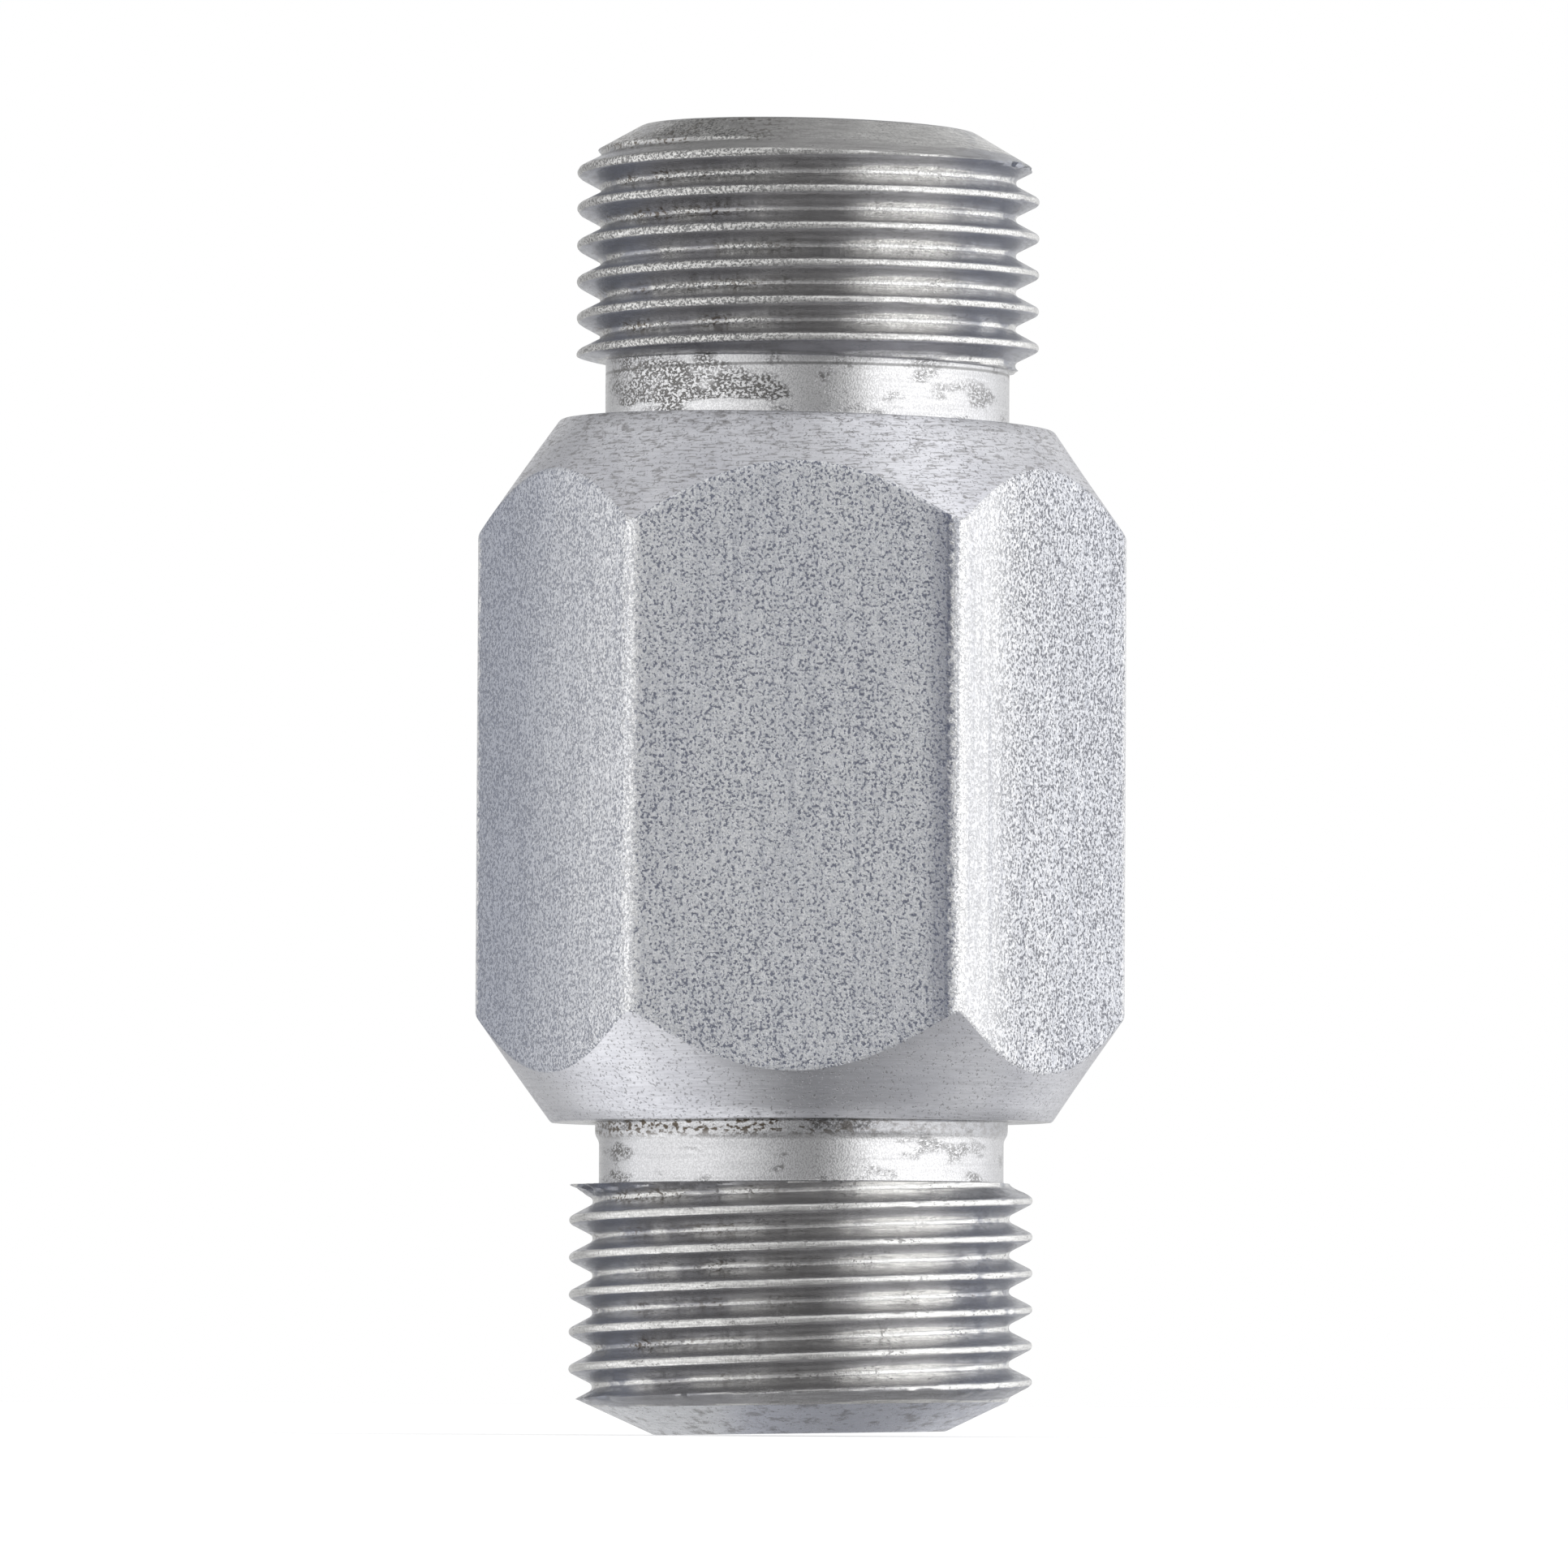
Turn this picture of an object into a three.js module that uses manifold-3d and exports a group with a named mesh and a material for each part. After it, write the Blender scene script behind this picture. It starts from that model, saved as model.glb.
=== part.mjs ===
// Inline carbon dioxide diffuser for aquariums and ponds. Units are millimetres.
//
// A hexagonal bar is turned down at both ends to a short G 5/8 shank with a relief neck. Gas enters at the
// lower shank, through a sintered inlet filter held by a circlip. It lifts a spring-loaded check valve in the
// middle of the bar and leaves as fine bubbles through a porous disc clamped in the upper shank.
// +Z runs with the flow. The origin is the centre of the inlet end face. One pair of flats faces -Y and +Y.

import * as THREE from "three";
import { mergeVertices } from "three/addons/utils/BufferGeometryUtils.js";
import Module from "manifold-3d";

const wasm = await Module();
wasm.setup();

// ---- Driving dimensions -------------------------------------------------------------------------------

const FULL_TURN = 2 * Math.PI;
const BAR_STEPS = 36; // facets round the outside of the housing
const BORE_STEPS = 28; // facets round the bore and every piece in it, all in step so that clearances hold
const FIT = 0.05; // gap between stacked pieces, and round a piece in its bore
const OVERCUT = 1; // how far a cutter runs past the material

const LENGTH = 64.5;
const HEX_ACROSS_FLATS = 28;
const HEX_CORNER_RADIUS = 0.9;
const INLET_SHANK = 15.35; // inlet face to lower shoulder
const OUTLET_SHANK = 14.7; // upper shoulder to outlet face
const INLET_SHOULDER_RADIUS = 12.4;
const OUTLET_SHOULDER_RADIUS = 12.25;
const HEX_CHAMFER = THREE.MathUtils.degToRad(35); // from the axis

const PIPE_THREAD = { pitch: 25.4 / 14, major: 11.455, minor: 10.293, flat: 0.302 }; // G 5/8
const RING_THREAD = { pitch: 1, major: 7, minor: 6.459, flat: 0.125 }; // M14 x 1
const NECK_RADIUS = 10;
const INLET_NECK = 3.05;
const OUTLET_NECK = 3.2;
const INLET_CREST = 10.55; // height of a pipe thread crest on the -X side, lower shank
const OUTLET_CREST = 53.06; // the same on the upper shank
const INLET_FACE_RADIUS = 7.2;
const OUTLET_FACE_RADIUS = 8.3;
const INLET_CHAMFER = 2.0; // axial length of the lead-in chamfer at thread major radius
const OUTLET_CHAMFER = 1.82;

const PORT_RADIUS = 4;
const PORT_DEPTH = 12;
const PASSAGE_RADIUS = 2.5;
const CHAMBER_FLOOR = 22;
const CHAMBER_RADIUS = 6.45;
const RING_THREAD_DEPTH = 5.4; // internal thread, from the outlet face
const CIRCLIP = { bottom: 4.7, thickness: 0.8, outer: 4.3, inner: 3.3, lug: 0.85, hole: 0.42 };
const CIRCLIP_GROOVE_RADIUS = 4.4;
const FILTER_GASKET = { inner: 2.75, outer: 3.95, thickness: 0.6 };

const INSERT_RADIUS = CHAMBER_RADIUS - 0.1; // every insert slides past the ring thread
const SEAT_HEIGHT = 7;
const SEAT_ORIFICE = 2.25;
const SEAT_RIM = 5.3;
const CAGE_HEIGHT = 15;
const CAGE_END = 2.2;
const VALVE_LIFT = 2.5;
const STEM_RADIUS = 1.3;
const STEM_CLEARANCE = 0.08;
const BUSH = { outer: 1.95, flange: 2.35, flangeThickness: 0.7, nose: 2.05, noseLength: 3.4 };
const SPRING = { mean: 2.8, wireRadius: 0.2, turns: 6.5 };
const WAVE = { thickness: 0.35, swing: 0.35, count: 3 };
const DISC_THICKNESS = 2.2;
const GASKET_THICKNESS = 0.8;
const GASKET_INNER = 4.9;
const SLIP_THICKNESS = 0.4;
const PLATE_THICKNESS = 1.2;
const RING_HEIGHT = 3.1;
const RING_OPENING = 4.6;

// Heights of the stack in the chamber, from its floor up.
const seatBase = CHAMBER_FLOOR + FIT;
const seatTop = seatBase + SEAT_HEIGHT;
const cageBase = seatTop + FIT;
const cageTop = cageBase + CAGE_HEIGHT;
const waveBase = cageTop + FIT;
const waveTop = waveBase + WAVE.thickness + 2 * WAVE.swing;
const sleeveBase = waveTop + FIT;
const ringTop = LENGTH - 1.6;
const ringBase = ringTop - RING_HEIGHT;
const slipBase = ringBase - FIT - SLIP_THICKNESS;
const frontGasketBase = slipBase - FIT - GASKET_THICKNESS;
const discBase = frontGasketBase - FIT - DISC_THICKNESS;
const rearGasketBase = discBase - FIT - GASKET_THICKNESS;
const plateBase = rearGasketBase - FIT - PLATE_THICKNESS;
const sleeveTop = plateBase - FIT;

// Heights inside the check valve. The seal's flat face closes on the seat's raised lip.
const lipTop = seatTop - 0.6;
const sealBase = lipTop + FIT;
const SEAL_THICKNESS = 1;
const headBase = sealBase + SEAL_THICKNESS + FIT;
const headTop = headBase + 1.6;
const cageEndBase = cageTop - CAGE_END;
const bushBase = cageEndBase - BUSH.noseLength;
const stopTop = bushBase - VALVE_LIFT - FIT; // the stem's stop shoulder meets the bush when fully open
const springBase = headTop + FIT;
const springTop = cageEndBase - FIT;

// ---- Materials ----------------------------------------------------------------------------------------

const metal = (color, roughness) => new THREE.MeshStandardMaterial({ color, roughness, metalness: 1 });
const soft = (color, roughness) => new THREE.MeshStandardMaterial({ color, roughness, metalness: 0 });
const barSteel = metal(0xa6a7ae, 0.45);
const turnedSteel = metal(0xb9babd, 0.3);
const springSteel = metal(0x9c9da0, 0.25);
const sinteredBronze = metal(0xa9763f, 0.7);
const blackRubber = soft(0x1c1c1d, 0.75);
const silicone = soft(0xc9c9c4, 0.6);
const ptfe = soft(0xe9e8e2, 0.5);
const ceramic = soft(0xdedbd2, 0.95);

// ---- Solids -------------------------------------------------------------------------------------------

// A closed geometry as a solid that can be joined and cut.
function toSolid(geometry) {
  const loose = geometry.index ? geometry.toNonIndexed() : geometry;
  const bare = new THREE.BufferGeometry().setAttribute("position", loose.getAttribute("position"));
  const merged = mergeVertices(bare, 1e-4);
  const corners = merged.index.array;
  const kept = [];
  for (let i = 0; i < corners.length; i += 3) {
    const [a, b, c] = corners.slice(i, i + 3);
    if (a !== b && b !== c && c !== a) kept.push(a, b, c);
  }
  const mesh = { numProp: 3, vertProperties: merged.attributes.position.array, triVerts: new Uint32Array(kept) };
  return new wasm.Manifold(new wasm.Mesh(mesh));
}

function toGeometry(solid) {
  const { vertProperties, triVerts, numProp, numVert } = solid.getMesh();
  const positions = new Float32Array(numVert * 3);
  for (let i = 0; i < numVert; i++) {
    positions.set(vertProperties.subarray(i * numProp, i * numProp + 3), i * 3);
  }
  const geometry = new THREE.BufferGeometry();
  geometry.setAttribute("position", new THREE.BufferAttribute(positions, 3));
  geometry.setIndex(new THREE.BufferAttribute(triVerts, 1));
  geometry.computeVertexNormals();
  return geometry;
}

// A solid of revolution about Z. The profile's [radius, height] points run anticlockwise with the radius to
// the right, and it starts and ends on the axis or closes on itself.
function turned(profile, steps = BORE_STEPS) {
  const points = profile.map(([radius, height]) => new THREE.Vector2(radius, height));
  if (profile[0][0] > 0) points.push(points[0].clone());
  return toSolid(new THREE.LatheGeometry(points, steps).rotateX(Math.PI / 2));
}

// A tube, or a plain disc where the inner radius is 0.
function tube(inner, outer, base, top) {
  return turned([[inner, base], [outer, base], [outer, top], [inner, top]]);
}

// A flat outline extruded along Z.
function extruded(shape, base, top, curveSegments = 6) {
  const geometry = new THREE.ExtrudeGeometry(shape, { depth: top - base, bevelEnabled: false, curveSegments });
  return toSolid(geometry.translate(0, 0, base));
}

// A straight drill along Z.
function drill(radius, x, y, base, top, steps = 12) {
  const geometry = new THREE.CylinderGeometry(radius, radius, top - base, steps).rotateX(Math.PI / 2);
  return toSolid(geometry.translate(x, y, (base + top) / 2));
}

// [x, y] points spread evenly round a circle about the axis.
function circleOf(count, radius, firstAngle = 0) {
  return Array.from({ length: count }, (_, i) => {
    const angle = firstAngle + (i / count) * FULL_TURN;
    return [radius * Math.cos(angle), radius * Math.sin(angle)];
  });
}

// A right-hand threaded rod that covers base to top and runs past both. Its surface is one strip, a pitch
// wide, wound round the axis: line k of the strip holds one corner of the tooth. A crest crosses the -X side
// at crestHeight.
function threadedRod({ pitch, major, minor, flat }, base, top, crestHeight, steps = BORE_STEPS) {
  const flank = (pitch - 2 * flat) / 2;
  const tooth = [[minor, 0], [minor, flat], [major, flat + flank], [major, 2 * flat + flank]];
  const crestMiddle = flat + flank + flat / 2;
  const startAtZero = crestHeight - crestMiddle - pitch / 2; // the -X side is half a turn round
  const start = startAtZero - Math.ceil((startAtZero - base) / pitch + 2) * pitch;
  const columns = Math.ceil((top - start) / pitch + 1) * steps;
  const positions = [];
  const indices = [];
  const first = tooth.map(([radius, rise], line) => {
    const offset = positions.length / 3;
    const last = line === 0 ? columns + steps : columns;
    for (let i = 0; i <= last; i++) {
      const angle = (i / steps) * FULL_TURN;
      positions.push(radius * Math.cos(angle), radius * Math.sin(angle), start + rise + (i / steps) * pitch);
    }
    return offset;
  });
  const corner = (line, i) => (line < tooth.length ? first[line] + i : first[0] + i + steps);
  const lowerEnd = positions.push(0, 0, start) / 3 - 1;
  const upperEnd = positions.push(0, 0, start + (columns / steps + 1) * pitch) / 3 - 1;
  for (let line = 0; line < tooth.length; line++) {
    for (let i = 0; i < columns; i++) {
      indices.push(corner(line, i), corner(line, i + 1), corner(line + 1, i + 1));
      indices.push(corner(line, i), corner(line + 1, i + 1), corner(line + 1, i));
    }
    indices.push(lowerEnd, corner(line, 0), corner(line + 1, 0));
    indices.push(upperEnd, corner(line + 1, columns), corner(line, columns));
  }
  for (let i = 0; i < steps; i++) {
    indices.push(lowerEnd, corner(0, i + 1), corner(0, i));
    indices.push(upperEnd, corner(0, columns + i), corner(0, columns + i + 1));
  }
  const geometry = new THREE.BufferGeometry();
  geometry.setAttribute("position", new THREE.Float32BufferAttribute(positions, 3));
  geometry.setIndex(indices);
  return toSolid(geometry);
}

// ---- Housing ------------------------------------------------------------------------------------------

function hexagonalBar() {
  const cornerDistance = HEX_ACROSS_FLATS / Math.sqrt(3);
  const outline = new THREE.Shape();
  for (let side = 0; side < 6; side++) {
    const here = new THREE.Vector2(cornerDistance, 0).rotateAround(new THREE.Vector2(), (side * Math.PI) / 3);
    const centre = here.clone().setLength(cornerDistance - HEX_CORNER_RADIUS / Math.cos(Math.PI / 6));
    const middle = (side * Math.PI) / 3;
    outline.absarc(centre.x, centre.y, HEX_CORNER_RADIUS, middle - Math.PI / 6, middle + Math.PI / 6);
  }
  outline.closePath();
  return extruded(outline, 0, LENGTH, 2);
}

// The outside as the lathe leaves it: end chamfers, thread blanks, relief necks, shoulders and hex chamfers.
function turnedOutside() {
  const blank = PIPE_THREAD.major + 0.3; // clear of the thread crests
  const lowerShoulder = INLET_SHANK;
  const upperShoulder = LENGTH - OUTLET_SHANK;
  const barRadius = HEX_ACROSS_FLATS / Math.sqrt(3) + OVERCUT;
  const chamferLength = (shoulderRadius) => (barRadius - shoulderRadius) / Math.tan(HEX_CHAMFER);
  const inletSlope = INLET_CHAMFER / (PIPE_THREAD.major - INLET_FACE_RADIUS);
  const outletSlope = OUTLET_CHAMFER / (PIPE_THREAD.major - OUTLET_FACE_RADIUS);
  const neckCollar = 0.2; // the lower neck is a little thicker beside its shoulder
  const neckTaper = PIPE_THREAD.major - NECK_RADIUS;
  return turned([
    [0, 0],
    [INLET_FACE_RADIUS, 0],
    [blank, inletSlope * (blank - INLET_FACE_RADIUS)],
    [blank, lowerShoulder - INLET_NECK],
    [NECK_RADIUS, lowerShoulder - INLET_NECK],
    [NECK_RADIUS, lowerShoulder - 0.9],
    [NECK_RADIUS + neckCollar, lowerShoulder - 0.6],
    [NECK_RADIUS + neckCollar, lowerShoulder],
    [INLET_SHOULDER_RADIUS, lowerShoulder],
    [barRadius, lowerShoulder + chamferLength(INLET_SHOULDER_RADIUS)],
    [barRadius, upperShoulder - chamferLength(OUTLET_SHOULDER_RADIUS)],
    [OUTLET_SHOULDER_RADIUS, upperShoulder],
    [NECK_RADIUS, upperShoulder],
    [NECK_RADIUS, upperShoulder + OUTLET_NECK - 0.6],
    [blank, upperShoulder + OUTLET_NECK - 0.6 + neckTaper],
    [blank, LENGTH - outletSlope * (blank - OUTLET_FACE_RADIUS)],
    [OUTLET_FACE_RADIUS, LENGTH],
    [0, LENGTH],
  ], BAR_STEPS);
}

// Everything bored out: inlet port with its circlip groove, passage, valve chamber and ring thread.
function boredInside() {
  const groove = tube(0, CIRCLIP_GROOVE_RADIUS, CIRCLIP.bottom - FIT, CIRCLIP.bottom + CIRCLIP.thickness + FIT);
  const bore = turned([
    [0, -OVERCUT],
    [PORT_RADIUS + 0.5 + OVERCUT, -OVERCUT],
    [PORT_RADIUS, 0.5],
    [PORT_RADIUS, PORT_DEPTH],
    [PASSAGE_RADIUS, PORT_DEPTH],
    [PASSAGE_RADIUS, CHAMBER_FLOOR],
    [CHAMBER_RADIUS, CHAMBER_FLOOR],
    [CHAMBER_RADIUS, LENGTH - 0.6],
    [CHAMBER_RADIUS + 0.8 + OVERCUT, LENGTH + OVERCUT + 0.2],
    [0, LENGTH + OVERCUT + 0.2],
  ]);
  const threadBase = LENGTH - RING_THREAD_DEPTH;
  const thread = threadedRod(RING_THREAD, threadBase, LENGTH, ringTop)
    .intersect(tube(0, RING_THREAD.major + OVERCUT, threadBase, LENGTH + OVERCUT));
  return bore.add(groove).add(thread);
}

function housing() {
  const outletZone = LENGTH - OUTLET_SHANK;
  const bar = hexagonalBar().intersect(tube(0, HEX_ACROSS_FLATS, INLET_SHANK, outletZone));
  const inletThread = threadedRod(PIPE_THREAD, 0, INLET_SHANK, INLET_CREST, BAR_STEPS)
    .intersect(tube(0, HEX_ACROSS_FLATS, -OVERCUT, INLET_SHANK + OVERCUT));
  const outletThread = threadedRod(PIPE_THREAD, outletZone, LENGTH, OUTLET_CREST, BAR_STEPS)
    .intersect(tube(0, HEX_ACROSS_FLATS, outletZone - OVERCUT, LENGTH + OVERCUT));
  return bar.add(inletThread).add(outletThread).intersect(turnedOutside()).subtract(boredInside());
}

// ---- Inlet filter, gasket and circlip -----------------------------------------------------------------

// A sintered plug, hollow from behind so that gas has more area to pass through.
function inletFilter() {
  const outer = PORT_RADIUS - 0.1;
  const base = CIRCLIP.bottom + CIRCLIP.thickness + FIT;
  const top = PORT_DEPTH - FILTER_GASKET.thickness - 2 * FIT;
  return turned([
    [0, base],
    [outer - 0.5, base],
    [outer, base + 0.5],
    [outer, top],
    [outer - 1.3, top],
    [outer - 1.6, base + 2.4],
    [0, base + 1.8],
  ]);
}

// Seals the filter's rim on the floor of the port, so that no gas goes round it.
function filterGasket() {
  const top = PORT_DEPTH - FIT;
  return tube(FILTER_GASKET.inner, FILTER_GASKET.outer, top - FILTER_GASKET.thickness, top);
}

// An internal circlip: a sprung ring, open at the front, with an eyelet at each end for the pliers.
function filterCirclip() {
  const { bottom, thickness, outer, inner, lug, hole } = CIRCLIP;
  const halfGap = THREE.MathUtils.degToRad(24);
  const front = -Math.PI / 2;
  const ring = new THREE.Shape();
  ring.absarc(0, 0, outer, front + halfGap, front - halfGap + FULL_TURN);
  ring.absarc(0, 0, inner, front - halfGap + FULL_TURN, front + halfGap, true);
  ring.closePath();
  const top = bottom + thickness;
  const lugDistance = outer - lug - FIT;
  const eyelets = [front + halfGap, front - halfGap].map((angle) => {
    return [lugDistance * Math.cos(angle), lugDistance * Math.sin(angle)];
  });
  let clip = extruded(ring, bottom, top, 20);
  for (const [x, y] of eyelets) clip = clip.add(drill(lug, x, y, bottom, top, 16));
  for (const [x, y] of eyelets) clip = clip.subtract(drill(hole, x, y, bottom - OVERCUT, top + OVERCUT, 10));
  return clip;
}

// ---- Check valve --------------------------------------------------------------------------------------

// Seat insert with an O-ring groove outside and a raised sealing lip round the orifice.
function valveSeat() {
  const grooveBase = seatBase + 2.4;
  const grooveTop = grooveBase + 1.9;
  const floor = seatTop - 1.4;
  return turned([
    [SEAT_ORIFICE + 0.6, seatBase],
    [INSERT_RADIUS - 0.3, seatBase],
    [INSERT_RADIUS, seatBase + 0.3],
    [INSERT_RADIUS, grooveBase],
    [SEAT_RIM, grooveBase],
    [SEAT_RIM, grooveTop],
    [INSERT_RADIUS, grooveTop],
    [INSERT_RADIUS, seatTop],
    [SEAT_RIM, seatTop],
    [SEAT_RIM, floor],
    [SEAT_ORIFICE + 1.3, floor],
    [SEAT_ORIFICE + 0.7, lipTop],
    [SEAT_ORIFICE + 0.35, lipTop],
    [SEAT_ORIFICE, lipTop - 0.35],
    [SEAT_ORIFICE, seatBase + 0.6],
  ]);
}

// The O-ring as squeezed between the groove's floor and the chamber wall.
function seatOring() {
  const middle = (SEAT_RIM + CHAMBER_RADIUS) / 2;
  const halfWidth = (CHAMBER_RADIUS - SEAT_RIM) / 2 - FIT;
  const halfHeight = 0.75;
  const height = seatBase + 2.4 + 1.9 / 2;
  const sides = 8;
  const section = Array.from({ length: sides }, (_, i) => {
    const angle = (i / sides) * FULL_TURN;
    return [middle + halfWidth * Math.cos(angle), height + halfHeight * Math.sin(angle)];
  });
  return turned(section);
}

// Head with a skirt round its seal, a stop shoulder and a guide stem. The screw's hole opens below.
function poppet() {
  const skirtBase = sealBase + 0.4;
  return turned([
    [1.05, headBase],
    [3.65, headBase],
    [3.65, skirtBase],
    [4.05, skirtBase],
    [4.25, skirtBase + 0.3],
    [4.25, headTop - 0.4],
    [3.85, headTop],
    [2, headTop],
    [2, stopTop],
    [STEM_RADIUS, stopTop],
    [STEM_RADIUS, cageTop + 0.5],
    [STEM_RADIUS - 0.5, cageTop + 1],
    [0, cageTop + 1],
    [0, headTop + 2.2],
    [1.05, headTop + 1.6],
  ]);
}

function poppetSeal() {
  return tube(1.05, 3.6, sealBase, sealBase + SEAL_THICKNESS);
}

// A countersunk screw whose nose streamlines the orifice and whose shank holds the seal on the poppet.
function sealScrew() {
  const shank = 1;
  const underHead = sealBase - FIT;
  const screw = turned([
    [0, underHead - 1.9],
    [0.9, underHead - 1.9],
    [1.85, underHead - 0.5],
    [1.85, underHead],
    [shank, underHead],
    [shank, headTop + 1.2],
    [shank - 0.25, headTop + 1.45],
    [0, headTop + 1.45],
  ]);
  const slotWidth = 0.5;
  const slotDepth = 0.6;
  const slot = new THREE.BoxGeometry(4, slotWidth, 2 * slotDepth).translate(0, 0, underHead - 1.9);
  return screw.subtract(toSolid(slot));
}

// Closed and ground ends: the wire lies flat for most of a turn at each end and climbs between.
class CoilLine extends THREE.Curve {
  getPoint(share) {
    const bottom = springBase + SPRING.wireRadius;
    const climb = springTop - springBase - 2 * SPRING.wireRadius;
    const closed = 1 / SPRING.turns; // share of the length that each closed end takes
    const active = THREE.MathUtils.clamp((share - closed) / (1 - 2 * closed), 0, 1);
    const closedRise = 2 * SPRING.wireRadius + FIT; // an end coil lies on the first active one
    const endShare = Math.min(share, closed) / closed + Math.max(share - 1 + closed, 0) / closed;
    const height = bottom + closedRise * endShare + (climb - 2 * closedRise) * active;
    const angle = share * SPRING.turns * FULL_TURN;
    return new THREE.Vector3(SPRING.mean * Math.cos(angle), SPRING.mean * Math.sin(angle), height);
  }
}

function valveSpring() {
  const section = new THREE.Shape().absarc(0, 0, SPRING.wireRadius, 0, FULL_TURN);
  const steps = Math.round(SPRING.turns * 16);
  const settings = { steps, extrudePath: new CoilLine(), curveSegments: 3, bevelEnabled: false };
  return toSolid(new THREE.ExtrudeGeometry(section, settings));
}

// A cup turned upside down on the seat: gas passes the poppet and leaves by the holes in its end.
function valveCage() {
  const inner = SEAT_RIM;
  const bushHole = BUSH.outer + FIT;
  const cup = turned([
    [bushHole, cageEndBase],
    [inner, cageEndBase],
    [inner, cageBase],
    [INSERT_RADIUS, cageBase],
    [INSERT_RADIUS, cageTop - 0.3],
    [INSERT_RADIUS - 0.3, cageTop],
    [bushHole, cageTop],
  ]);
  const flowHoles = circleOf(6, 3.95).map(([x, y]) => drill(0.9, x, y, cageEndBase - OVERCUT, cageTop + OVERCUT));
  return flowHoles.reduce((cage, hole) => cage.subtract(hole), cup);
}

// A flanged bearing for the stem, which slides dry. Its nose is the poppet's stop.
function guideBush() {
  const bore = STEM_RADIUS + STEM_CLEARANCE;
  const flangeTop = cageEndBase - FIT;
  return turned([
    [bore, bushBase],
    [BUSH.nose, bushBase],
    [BUSH.nose, flangeTop - BUSH.flangeThickness],
    [BUSH.flange, flangeTop - BUSH.flangeThickness],
    [BUSH.flange, flangeTop],
    [BUSH.outer, flangeTop],
    [BUSH.outer, cageTop],
    [bore, cageTop],
  ]);
}

// ---- Diffuser stack -----------------------------------------------------------------------------------

// A flat ring bent into waves: it takes up the slack when the stack is clamped.
function waveWasher() {
  const ring = new THREE.RingGeometry(SEAT_RIM, INSERT_RADIUS, 60, 1);
  const flat = ring.getAttribute("position");
  const count = flat.count;
  const positions = [];
  for (const lift of [0, WAVE.thickness]) {
    for (let i = 0; i < count; i++) {
      const [x, y] = [flat.getX(i), flat.getY(i)];
      const wave = WAVE.swing * (1 + Math.sin(WAVE.count * Math.atan2(y, x)));
      positions.push(x, y, waveBase + wave + lift);
    }
  }
  const faces = ring.index.array;
  const indices = [];
  for (let i = 0; i < faces.length; i += 3) {
    const [a, b, c] = faces.slice(i, i + 3);
    indices.push(a, c, b, a + count, b + count, c + count);
  }
  const rimCount = count / 2;
  for (let i = 0; i < rimCount - 1; i++) {
    for (const [from, to] of [[i + 1, i], [rimCount + i, rimCount + i + 1]]) {
      indices.push(from, to, to + count, from, to + count, from + count);
    }
  }
  const geometry = new THREE.BufferGeometry();
  geometry.setAttribute("position", new THREE.Float32BufferAttribute(positions, 3));
  geometry.setIndex(indices);
  return toSolid(geometry);
}

function spacerSleeve() {
  const edge = 0.3;
  return turned([
    [SEAT_RIM, sleeveBase],
    [INSERT_RADIUS - edge, sleeveBase],
    [INSERT_RADIUS, sleeveBase + edge],
    [INSERT_RADIUS, sleeveTop - edge],
    [INSERT_RADIUS - edge, sleeveTop],
    [SEAT_RIM, sleeveTop],
  ]);
}

// Backs the brittle disc and spreads the gas behind it.
function supportPlate() {
  const top = plateBase + PLATE_THICKNESS;
  const holes = [[0, 0], ...circleOf(6, 1.75), ...circleOf(12, 3.5, Math.PI / 12)];
  return holes
    .map(([x, y]) => drill(0.55, x, y, plateBase - OVERCUT, top + OVERCUT, 8))
    .reduce((plate, hole) => plate.subtract(hole), tube(0, INSERT_RADIUS, plateBase, top));
}

function gasket(base) {
  return tube(GASKET_INNER, INSERT_RADIUS - 0.05, base, base + GASKET_THICKNESS);
}

function diffuserDisc() {
  const outer = INSERT_RADIUS - 0.15;
  const edge = 0.25;
  const top = discBase + DISC_THICKNESS;
  return turned([
    [0, discBase],
    [outer - edge, discBase],
    [outer, discBase + edge],
    [outer, top - edge],
    [outer - edge, top],
    [0, top],
  ]);
}

function slipWasher() {
  return tube(GASKET_INNER, INSERT_RADIUS - 0.05, slipBase, slipBase + SLIP_THICKNESS);
}

// Threaded clamp ring with a flared opening and two slots for a pin spanner.
function retainingRing() {
  const clearance = 0.08;
  const thread = {
    ...RING_THREAD,
    major: RING_THREAD.major - clearance,
    minor: RING_THREAD.minor - clearance,
  };
  const edge = 0.45;
  const outer = RING_THREAD.major + OVERCUT;
  const blank = turned([
    [RING_OPENING, ringBase],
    [thread.minor - 0.1, ringBase],
    [outer, ringBase + (outer - thread.minor) + 0.1],
    [outer, ringTop - edge - OVERCUT],
    [thread.major - edge, ringTop],
    [RING_OPENING + 0.5, ringTop],
    [RING_OPENING, ringTop - 0.5],
  ]);
  const slotWidth = 1.6;
  const slotDepth = 1.3;
  const slot = new THREE.BoxGeometry(4 * RING_THREAD.major, slotWidth, 2 * slotDepth).translate(0, 0, ringTop);
  return threadedRod(thread, ringBase, ringTop, ringTop).intersect(blank).subtract(toSolid(slot));
}

// ---- Assembly -----------------------------------------------------------------------------------------

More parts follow.
